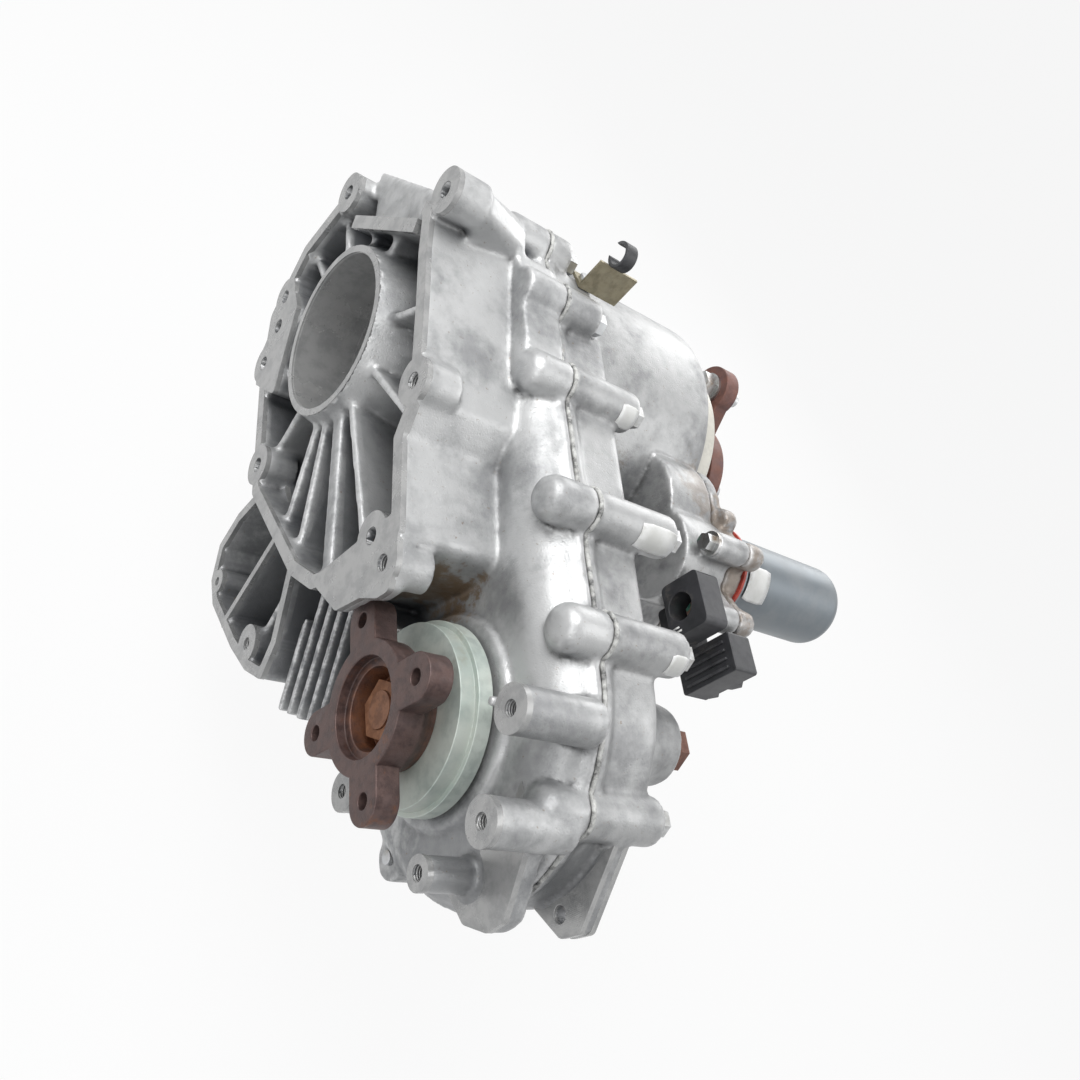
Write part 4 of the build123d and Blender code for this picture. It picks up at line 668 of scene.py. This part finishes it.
# Machined faces: each is a thin crisp plate over the softened casting, a little proud of it
# (station, facing, lowest y, highest y, lowest z, highest z)
machinedFaces = {
    "front_case": [(0.0, -1, -0.25, 0.15, -0.12, 0.16), (0.018, -1, -0.22, -0.03, -0.22, -0.07),
                   (0.032, -1, -0.30, -0.27, 0.07, 0.11), (0.033, -1, -0.345, -0.31, 0.04, 0.08),
                   (0.034, -1, -0.35, -0.32, -0.01, 0.02), (0.050, -1, -0.28, -0.25, -0.10, -0.07),
                   (0.064, -1, -0.37, -0.30, -0.03, 0.06)],
    "rear_case": [(0.114, -1, -0.37, -0.32, -0.03, 0.08), (0.124, 1, -0.37, -0.32, -0.03, 0.08)],
}
plateShape = {"depth": 0.0034, "proud": 0.0002, "edge": 0.0004, "sharpAngle": 50, "flatAngle": 0.01}


def liesAt(face, station):  # a face square to X at that station
    return abs(face.normal.x) > 0.999 and abs(face.calc_center_median().x - station) < 2e-5


def facePlates(nodeName, plans, material):
    piece = mergedCopy(nodeName, nodeName + "_faces")
    build = bmesh.new()
    build.from_mesh(piece.data)
    kept = {}
    for face in build.faces:
        centre = face.calc_center_median()
        for station, side, lowY, highY, lowZ, highZ in plans:
            inside = lowY < centre.y < highY and lowZ < centre.z < highZ
            if inside and face.normal.x * side > 0 and liesAt(face, station):
                kept[face] = side * plateShape["proud"] if station else 0.0  # the gearbox face stays
    bmesh.ops.delete(build, geom=[face for face in build.faces if face not in kept], context="FACES")
    moved = set()
    for face, step in kept.items():
        for vertex in face.verts:
            if vertex not in moved:
                moved.add(vertex)
                vertex.co.x += step
    bmesh.ops.dissolve_limit(build, angle_limit=plateShape["flatAngle"], verts=build.verts[:],
                             edges=build.edges[:])
    build.to_mesh(piece.data)
    build.free()
    thicken(piece, plateShape["depth"])
    addBevel(piece, plateShape["edge"], plateShape["sharpAngle"])
    addCut(piece, 4)
    applied(piece)
    smoothShading(piece)
    print("machined faces of", nodeName, len(piece.data.polygons), "triangles")
    settle(piece, bodyOfNode(nodeName), material, "cast_aluminium")


for nodeName, plans in machinedFaces.items():
    facePlates(nodeName, plans, machinedCast)


def turnedPiece(name, profile, segments):  # closed profile of (station, radius) round the X axis
    build = bmesh.new()
    rings = []
    for index in range(segments):
        angle = 2 * math.pi * index / segments
        rings.append([build.verts.new((x, r * math.cos(angle), r * math.sin(angle))) for x, r in profile])
    for index in range(segments):
        first, second = rings[index], rings[(index + 1) % segments]
        for step in range(len(profile)):
            after = (step + 1) % len(profile)
            build.faces.new((first[step], first[after], second[after], second[step]))
    bmesh.ops.recalc_face_normals(build, faces=build.faces)
    return builtPiece(name, build)


# Input bore: a turned wall with a lead-in, a snap ring groove and a relief at its end
boreShape = {"radius": 0.05178, "back": 0.0534, "front": 0.0002, "rear": 0.0577, "leadIn": 0.0012,
             "groove": 0.041, "grooveWidth": 0.0018, "grooveDepth": 0.0009, "relief": 0.050,
             "reliefRamp": 0.0008, "reliefDepth": 0.0006, "segments": 160, "sharpAngle": 30}


def boreProfile(shape):
    radius, front, rear, back = shape["radius"], shape["front"], shape["rear"], shape["back"]
    groove, grooveRadius = shape["groove"], radius + shape["grooveDepth"]
    grooveEnd = groove + shape["grooveWidth"]
    reliefStart, reliefRadius = shape["relief"] + shape["reliefRamp"], radius + shape["reliefDepth"]
    return [(front, back), (front, radius + shape["leadIn"]), (front + shape["leadIn"], radius),
            (groove, radius), (groove, grooveRadius), (grooveEnd, grooveRadius), (grooveEnd, radius),
            (shape["relief"], radius), (reliefStart, reliefRadius), (rear, reliefRadius), (rear, back)]


boreWall = turnedPiece("inputBoreWall", boreProfile(boreShape), boreShape["segments"])
boreWall.data.shade_smooth()
crisp = boreWall.modifiers.new("crisp", "EDGE_SPLIT")
crisp.split_angle = math.radians(boreShape["sharpAngle"])
applied(boreWall)
settle(boreWall, "housing", boreCast, "cast_aluminium")


# Geometry Nodes

def newGeometryTree(name, inputs):
    tree = bpy.data.node_groups.new(name, "GeometryNodeTree")
    identifiers = {}
    tree.interface.new_socket(name="Geometry", in_out="INPUT", socket_type="NodeSocketGeometry")
    for label, kind, value in inputs:
        socket = tree.interface.new_socket(name=label, in_out="INPUT", socket_type=kind)
        if value is not None:
            socket.default_value = value
        identifiers[label] = socket.identifier
    tree.interface.new_socket(name="Geometry", in_out="OUTPUT", socket_type="NodeSocketGeometry")
    return tree, addNode(tree, "NodeGroupInput").outputs, addNode(tree, "NodeGroupOutput"), identifiers


def finishTree(tree, geometry, material, result):
    real = addNode(tree, "GeometryNodeRealizeInstances")
    feed(tree, geometry, real.inputs[0])
    coat = addNode(tree, "GeometryNodeSetMaterial")
    feed(tree, real.outputs[0], coat.inputs["Geometry"])
    feed(tree, material, coat.inputs["Material"])
    feed(tree, coat.outputs[0], result.inputs[0])


def atPoints(tree, given, shape):  # the same shape at each given point
    spots = addNode(tree, "GeometryNodeInstanceOnPoints")
    feed(tree, given["Geometry"], spots.inputs["Points"])
    feed(tree, shape, spots.inputs["Instance"])
    return spots


def sweep(tree, line, profile):
    tube = addNode(tree, "GeometryNodeCurveToMesh")
    feed(tree, line, tube.inputs["Curve"])
    feed(tree, profile, tube.inputs["Profile Curve"])
    return tube


def grow(name, points, edges, tree, identifiers, values):  # runs a tree on a few points
    mesh = bpy.data.meshes.new(name)
    mesh.from_pydata(points, edges, [])
    piece = newPiece(name, mesh)
    maker = piece.modifiers.new("maker", "NODES")
    maker.node_group = tree
    for label, value in values.items():
        maker[identifiers[label]] = value
    applied(piece)
    piece.data.shade_smooth()
    return piece


# Sealant squeezed out where the two housings meet
beadShape = {"station": 0.090, "radius": 0.00130, "inward": 0.0005, "spacing": 0.0022, "sides": 8,
             "unevenness": 0.0008, "noiseScale": 90.0, "seed": 3.0}


def makeBeadTree():  # an uneven bead along a closed line
    tree, given, result, identifiers = newGeometryTree(
        "sealantBead", [("Radius", numberSocket, 0.001), ("Spacing", numberSocket, 0.002),
                        ("Unevenness", numberSocket, 0.0004), ("Seed", numberSocket, 3.0),
                        ("Material", materialSocket, None)])
    line = addNode(tree, "GeometryNodeMeshToCurve")
    feed(tree, given["Geometry"], line.inputs["Mesh"])
    even = addNode(tree, "GeometryNodeResampleCurve", mode="LENGTH")
    feed(tree, line.outputs[0], even.inputs["Curve"])
    feed(tree, given["Spacing"], even.inputs["Length"])
    noise = addNode(tree, "ShaderNodeTexNoise", noise_dimensions="4D")
    noise.inputs["Scale"].default_value = beadShape["noiseScale"]
    feed(tree, given["Seed"], noise.inputs["W"])
    centred = addNode(tree, "ShaderNodeVectorMath", operation="SUBTRACT")
    feed(tree, noise.outputs["Color"], centred.inputs[0])
    centred.inputs[1].default_value = (0.5, 0.5, 0.5)
    sized = addNode(tree, "ShaderNodeVectorMath", operation="SCALE")
    feed(tree, centred.outputs[0], sized.inputs[0])
    feed(tree, given["Unevenness"], sized.inputs["Scale"])
    moved = addNode(tree, "GeometryNodeSetPosition")
    feed(tree, even.outputs[0], moved.inputs["Geometry"])
    feed(tree, sized.outputs[0], moved.inputs["Offset"])
    ring = addNode(tree, "GeometryNodeCurvePrimitiveCircle")
    ring.inputs["Resolution"].default_value = beadShape["sides"]
    feed(tree, given["Radius"], ring.inputs["Radius"])
    tube = sweep(tree, moved.outputs[0], ring.outputs[0])
    finishTree(tree, tube.outputs[0], given["Material"], result)
    return tree, identifiers


def outlineAt(nodeName, station):  # the longest edge loop of the flat face there
    source = mergedCopy(nodeName, "outlineSource")
    build = bmesh.new()
    build.from_mesh(source.data)
    flat = {face for face in build.faces if liesAt(face, station)}
    ways = {}
    for edge in build.edges:
        if sum(face in flat for face in edge.link_faces) == 1:
            first, second = edge.verts
            ways.setdefault(first.index, []).append(second.index)
            ways.setdefault(second.index, []).append(first.index)
    places = {vertex.index: vertex.co.copy() for vertex in build.verts if vertex.index in ways}
    build.free()
    bpy.data.objects.remove(source)
    loops, done = [], set()
    for start in ways:
        if start in done:
            continue
        loop, here = [], start
        while here is not None:
            done.add(here)
            loop.append(places[here])
            here = next((after for after in ways[here] if after not in done), None)
        loops.append(loop)
    return max(loops, key=lambda loop: max(p.y for p in loop) - min(p.y for p in loop))


def shrunk(loop, amount):
    area = sum(a.y * b.z - b.y * a.z for a, b in zip(loop, loop[1:] + loop[:1]))
    side = 1.0 if area > 0 else -1.0
    inner = []
    for index, point in enumerate(loop):
        along = loop[(index + 1) % len(loop)] - loop[index - 1]
        away = Vector((0, -along.z, along.y)) * side
        inner.append(point + away.normalized() * amount if away.length > 1e-9 else point)
    return inner


beadTree, beadInputs = makeBeadTree()
line = shrunk(outlineAt("rear_case", beadShape["station"]), beadShape["inward"])
widest = cadBounds[1][1] - beadShape["radius"] - beadShape["unevenness"] / 2
line = [(point.x, min(point.y, widest), point.z) for point in line]  # stays inside the part's box
ends = [(index, (index + 1) % len(line)) for index in range(len(line))]
bead = grow("sealantLine", line, ends, beadTree, beadInputs,
            {"Radius": beadShape["radius"], "Spacing": beadShape["spacing"],
             "Unevenness": beadShape["unevenness"], "Seed": beadShape["seed"], "Material": sealantGrey})
settle(bead, "housing", sealantGrey, "seal_rubber")
print("sealant line", len(bead.data.polygons), "faces")

# Threads in the blind holes that face forward: (y, z, radius, front end)
threadShape = {"pitch": 0.00150, "start": 0.0010, "steps": 22, "sides": 6, "ridge": 0.42}
threadedHoles = [(-0.285, 0.091, stayThread, 0.032), (-0.327, 0.061, stayThread, 0.033),
                 (-0.336, 0.008, stayThread, 0.034), (-0.265, -0.085, stayThread, 0.050),
                 (-0.150, -0.146, stayThread, 0.018)]
threadedHoles += [(y, z, caseThread, 0.0) for y, z in gearboxThreads]


def makeThreadTree():  # a thread's turns inside a hole along X, one at each point
    tree, given, result, identifiers = newGeometryTree(
        "threadTurns", [("Radius", numberSocket, 0.0042), ("Pitch", numberSocket, 0.0015),
                        ("Turns", numberSocket, 11.0), ("Material", materialSocket, None)])
    helix = addNode(tree, "GeometryNodeCurveSpiral")
    helix.inputs["Resolution"].default_value = threadShape["steps"]
    feed(tree, given["Turns"], helix.inputs["Rotations"])
    feed(tree, given["Radius"], helix.inputs["Start Radius"])
    feed(tree, given["Radius"], helix.inputs["End Radius"])
    feed(tree, times(tree, given["Turns"], given["Pitch"]), helix.inputs["Height"])
    ridge = addNode(tree, "GeometryNodeCurvePrimitiveCircle")
    ridge.inputs["Resolution"].default_value = threadShape["sides"]
    feed(tree, times(tree, given["Pitch"], threadShape["ridge"]), ridge.inputs["Radius"])
    tube = sweep(tree, helix.outputs[0], ridge.outputs[0])
    tube.inputs["Fill Caps"].default_value = True
    spots = atPoints(tree, given, tube.outputs[0])
    spots.inputs["Rotation"].default_value = (0, math.pi / 2, 0)
    finishTree(tree, spots.outputs[0], given["Material"], result)
    return tree, identifiers


threadTree, threadInputs = makeThreadTree()
turns = math.floor((stayThreadDepth - 2 * threadShape["start"]) / threadShape["pitch"])
for radius in (stayThread, caseThread):
    mouths = [(front + threadShape["start"], y, z)
              for y, z, size, front in threadedHoles if size == radius]
    pieceName = "holeThreads" + str(round(radius * 20000))  # the hole's width in tenths of a millimetre
    threads = grow(pieceName, mouths, [], threadTree, threadInputs,
                   {"Radius": radius, "Pitch": threadShape["pitch"], "Turns": float(turns),
                    "Material": machinedCast})
    settle(threads, "housing", machinedCast, "cast_aluminium")

# Blank stickers on the rear ends of bosses and on the motor: (y, z, radius, angle, width, front, rear)
stickerShape = {"thickness": 0.00025, "steps": 14, "rows": 4, "corner": 0.0012}
stickers = [(-0.080, 0.103, 0.0132, 150, 70, 0.128, 0.141),
            (-0.168, 0.104, 0.0132, 146, 76, 0.121, 0.148),
            (-0.240, 0.098, 0.0132, 150, 60, 0.131, 0.143),
            (-0.1355, 0.0531, 0.0322, 128, 44, 0.262, 0.283)]


def makeSticker(number, y, z, radius, angle, width, front, rear):
    steps, rows = stickerShape["steps"], stickerShape["rows"]
    build = bmesh.new()
    grid = []
    for row in range(rows + 1):
        x = front + (rear - front) * row / rows
        narrow = stickerShape["corner"] / radius if row in (0, rows) else 0.0
        first = math.radians(angle - width / 2) + narrow
        last = math.radians(angle + width / 2) - narrow
        turns = [first + (last - first) * step / steps for step in range(steps + 1)]
        grid.append([build.verts.new((x, y + radius * math.cos(turn), z + radius * math.sin(turn)))
                     for turn in turns])
    for near, far in zip(grid, grid[1:]):
        for step in range(steps):
            build.faces.new((near[step], near[step + 1], far[step + 1], far[step]))
    bmesh.ops.recalc_face_normals(build, faces=build.faces)
    outward = Vector((0, math.cos(math.radians(angle)), math.sin(math.radians(angle))))
    if next(iter(build.faces)).normal.dot(outward) < 0:
        bmesh.ops.reverse_faces(build, faces=build.faces[:])
    piece = builtPiece("blankSticker" + str(number), build)
    thicken(piece, stickerShape["thickness"])
    applied(piece)
    piece.data.shade_smooth()
    settle(piece, "housing", stickerPaper, "black_plastic")


for number, values in enumerate(stickers):
    makeSticker(number + 1, *values)


def makeBarTree():  # the same small bar at every point
    tree, given, result, identifiers = newGeometryTree(
        "barRow", [("Size", vectorSocket, None), ("Material", materialSocket, None)])
    bar = addNode(tree, "GeometryNodeMeshCube")
    feed(tree, given["Size"], bar.inputs["Size"])
    finishTree(tree, atPoints(tree, given, bar.outputs[0]).outputs[0], given["Material"], result)
    return tree, identifiers


def crispen(piece, width):
    addBevel(piece, width)
    applied(piece)
    smoothShading(piece)


# Plug: stiffening ribs in front and two pointed latches behind, their corners as (x, z)
plugShape = {"ribPlaces": [-0.2215, -0.2160, -0.2105, -0.2050], "ribSize": (0.0024, 0.0018, 0.034),
             "ribCentre": (0.2231, 0.0580), "ribEdge": 0.0004, "latchEdge": 0.0005,
             "latchFrom": -0.2243, "latchTo": -0.2015,
             "latches": [[(0.2425, 0.0700), (0.2525, 0.0600), (0.2490, 0.0545), (0.2425, 0.0530)],
                         [(0.2425, 0.0500), (0.2500, 0.0425), (0.2460, 0.0375), (0.2425, 0.0370)]]}
barTree, barInputs = makeBarTree()
ribX, ribZ = plugShape["ribCentre"]
plastic = finishes["black_plastic"]
ribs = grow("plugRibs", [(ribX, y, ribZ) for y in plugShape["ribPlaces"]], [], barTree, barInputs,
            {"Size": plugShape["ribSize"], "Material": plastic})
crispen(ribs, plugShape["ribEdge"])
settle(ribs, "housing", plastic, "black_plastic")
build = bmesh.new()
for corners in plugShape["latches"]:
    base = build.faces.new([build.verts.new((x, plugShape["latchFrom"], z)) for x, z in corners])
    grown = bmesh.ops.extrude_face_region(build, geom=[base])
    for item in grown["geom"]:
        if isinstance(item, bmesh.types.BMVert):
            item.co.y = plugShape["latchTo"]
bmesh.ops.recalc_face_normals(build, faces=build.faces)
latches = builtPiece("plugLatches", build)
crispen(latches, plugShape["latchEdge"])
settle(latches, "housing", plastic, "black_plastic")

# Two pale marks on the sensor
markShape = {"size": (0.0006, 0.0011, 0.0052),
             "places": [(0.1930, -0.1985, 0.0655), (0.1930, -0.2010, 0.0670)]}
marks = grow("sensorMarks", markShape["places"], [], barTree, barInputs,
             {"Size": markShape["size"], "Material": stickerPaper})
settle(marks, "housing", stickerPaper, "black_plastic")
print("plug, sensor and stickers dressed")

# Pieces whose edges are rounded, with the width in metres
edgeBevels = {
    "front_output_flange": 0.0009, "rear_output_flange": 0.0009, "front_dust_shield": 0.0005,
    "rear_dust_shield": 0.0005, "filler_plug": 0.0006, "drain_plug": 0.0006, "case_bolts": 0.0005,
    "coupling_bolt": 0.0005, "actuator_screws": 0.0005, "motor_can": 0.0006, "motor_plug": 0.0008,
    "position_sensor": 0.0008, "harness_bracket": 0.0003, "harness_clip": 0.0004,
    "bracket_screw": 0.0004, "front_flange_nut": 0.0006, "rear_flange_nut": 0.0006,
    "rear_output_shaft": 0.0006, "input_shaft": 0.0005}
edgeShape = {"flatAngle": 0.3, "sharpAngle": 35}


def bevelPiece(nodeName, width):
    piece = mergedCopy(nodeName, nodeName + "_dressed")
    joined = piece.modifiers.new("joined", "DECIMATE")
    joined.decimate_type = "DISSOLVE"
    joined.angle_limit = math.radians(edgeShape["flatAngle"])
    addBevel(piece, width, edgeShape["sharpAngle"])
    addCut(piece, 5)
    applied(piece)
    smoothShading(piece)
    settle(piece, bodyOfNode(nodeName), finishOf(nodeName), slotOf[nodeName], nodeName)


for nodeName, width in edgeBevels.items():
    bevelPiece(nodeName, width)
print("edges rounded:", len(edgeBevels))

# Camera at the photograph's viewing angle
cameraPlace = {"position": (-0.2446, -0.4523, 0.4088), "right": (0.7608, -0.127, 0.637),
               "view": (0.5989, 0.513, -0.6136), "lens": 33.33, "sensor": 36.0, "nearest": 0.01}
right = Vector(cameraPlace["right"]).normalized()
forward = Vector(cameraPlace["view"]).normalized()
upward = right.cross(forward).normalized()
right = forward.cross(upward).normalized()
cameraData = bpy.data.cameras.new("photoCamera")
cameraData.lens = cameraPlace["lens"]
cameraData.sensor_width = cameraPlace["sensor"]
cameraData.sensor_fit = "HORIZONTAL"
cameraData.clip_start = cameraPlace["nearest"]
camera = newPiece("photoCamera", cameraData)
turn = Matrix((right, upward, -forward)).transposed().to_4x4()
camera.matrix_world = Matrix.Translation(cameraPlace["position"]) @ turn
scene.camera = camera

# Floor, lamps and world
stageLook = {"floorLevel": -0.300, "floorReach": 40.0, "floorColour": (0.88, 0.88, 0.88),
             "shadowKept": 0.10, "worldColour": (0.90, 0.93, 0.97), "worldStrength": 0.24,
             "lampAim": (0.12, -0.12, 0.0)}
floorMesh = bpy.data.meshes.new("studioFloor")
reach = stageLook["floorReach"]
level = stageLook["floorLevel"]
floorMesh.from_pydata([(-reach, -reach, level), (reach, -reach, level), (reach, reach, level),
                       (-reach, reach, level)], [], [(0, 1, 2, 3)])
newPiece("studioFloor", floorMesh)


def blendForSeenRays(tree, share, first, second, outputKind):  # second is what camera and mirrors see
    path = addNode(tree, "ShaderNodeLightPath")
    seen = calculate(tree, "MAXIMUM", path.outputs["Is Camera Ray"], path.outputs["Is Glossy Ray"])
    seen = calculate(tree, "MAXIMUM", seen, path.outputs["Is Transmission Ray"])
    blend = addNode(tree, "ShaderNodeMixShader")
    feed(tree, times(tree, seen, share), blend.inputs[0])
    feed(tree, first.outputs[0], blend.inputs[1])
    feed(tree, second.outputs[0], blend.inputs[2])
    feed(tree, blend.outputs[0], addNode(tree, outputKind).inputs[0])


floorMaterial = bpy.data.materials.new("paleFloor")
floorMaterial.use_nodes = True
tree = floorMaterial.node_tree
tree.nodes.clear()
plain = addNode(tree, "ShaderNodeBsdfDiffuse")
plain.inputs["Color"].default_value = (*stageLook["floorColour"], 1)
glow = addNode(tree, "ShaderNodeEmission")
blendForSeenRays(tree, 1.0 - stageLook["shadowKept"], plain, glow, "ShaderNodeOutputMaterial")
floorMesh.materials.append(floorMaterial)

world = bpy.data.worlds.new("softStudio")
scene.world = world
world.use_nodes = True
tree = world.node_tree
tree.nodes.clear()
dim = addNode(tree, "ShaderNodeBackground")
dim.inputs["Color"].default_value = (*stageLook["worldColour"], 1)
dim.inputs["Strength"].default_value = stageLook["worldStrength"]
white = addNode(tree, "ShaderNodeBackground")
white.inputs["Color"].default_value = (1, 1, 1, 1)
blendForSeenRays(tree, 1.0, dim, white, "ShaderNodeOutputWorld")

lampPlan = [
    {"name": "overheadSoftbox", "from": (-0.36, 0.14, 1.02), "size": 0.9, "power": 12.0},
    {"name": "cameraSoftbox", "from": (-0.75, -0.95, 0.75), "size": 0.7, "power": 3.5},
    {"name": "rightSoftbox", "from": (0.85, -0.45, 0.85), "size": 0.7, "power": 2.5},
    {"name": "rearSoftbox", "from": (0.95, 0.60, 0.40), "size": 0.7, "power": 3.5},
]
for plan in lampPlan:
    lamp = bpy.data.lights.new(plan["name"], "AREA")
    lamp.shape = "SQUARE"
    lamp.size = plan["size"]
    lamp.energy = plan["power"]
    holder = newPiece(plan["name"], lamp)
    holder.location = plan["from"]
    towards = Vector(stageLook["lampAim"]) - Vector(plan["from"])
    holder.rotation_euler = towards.to_track_quat("-Z", "Y").to_euler()
scene.view_settings.view_transform = "Standard"
print("camera, floor and lamps ready")
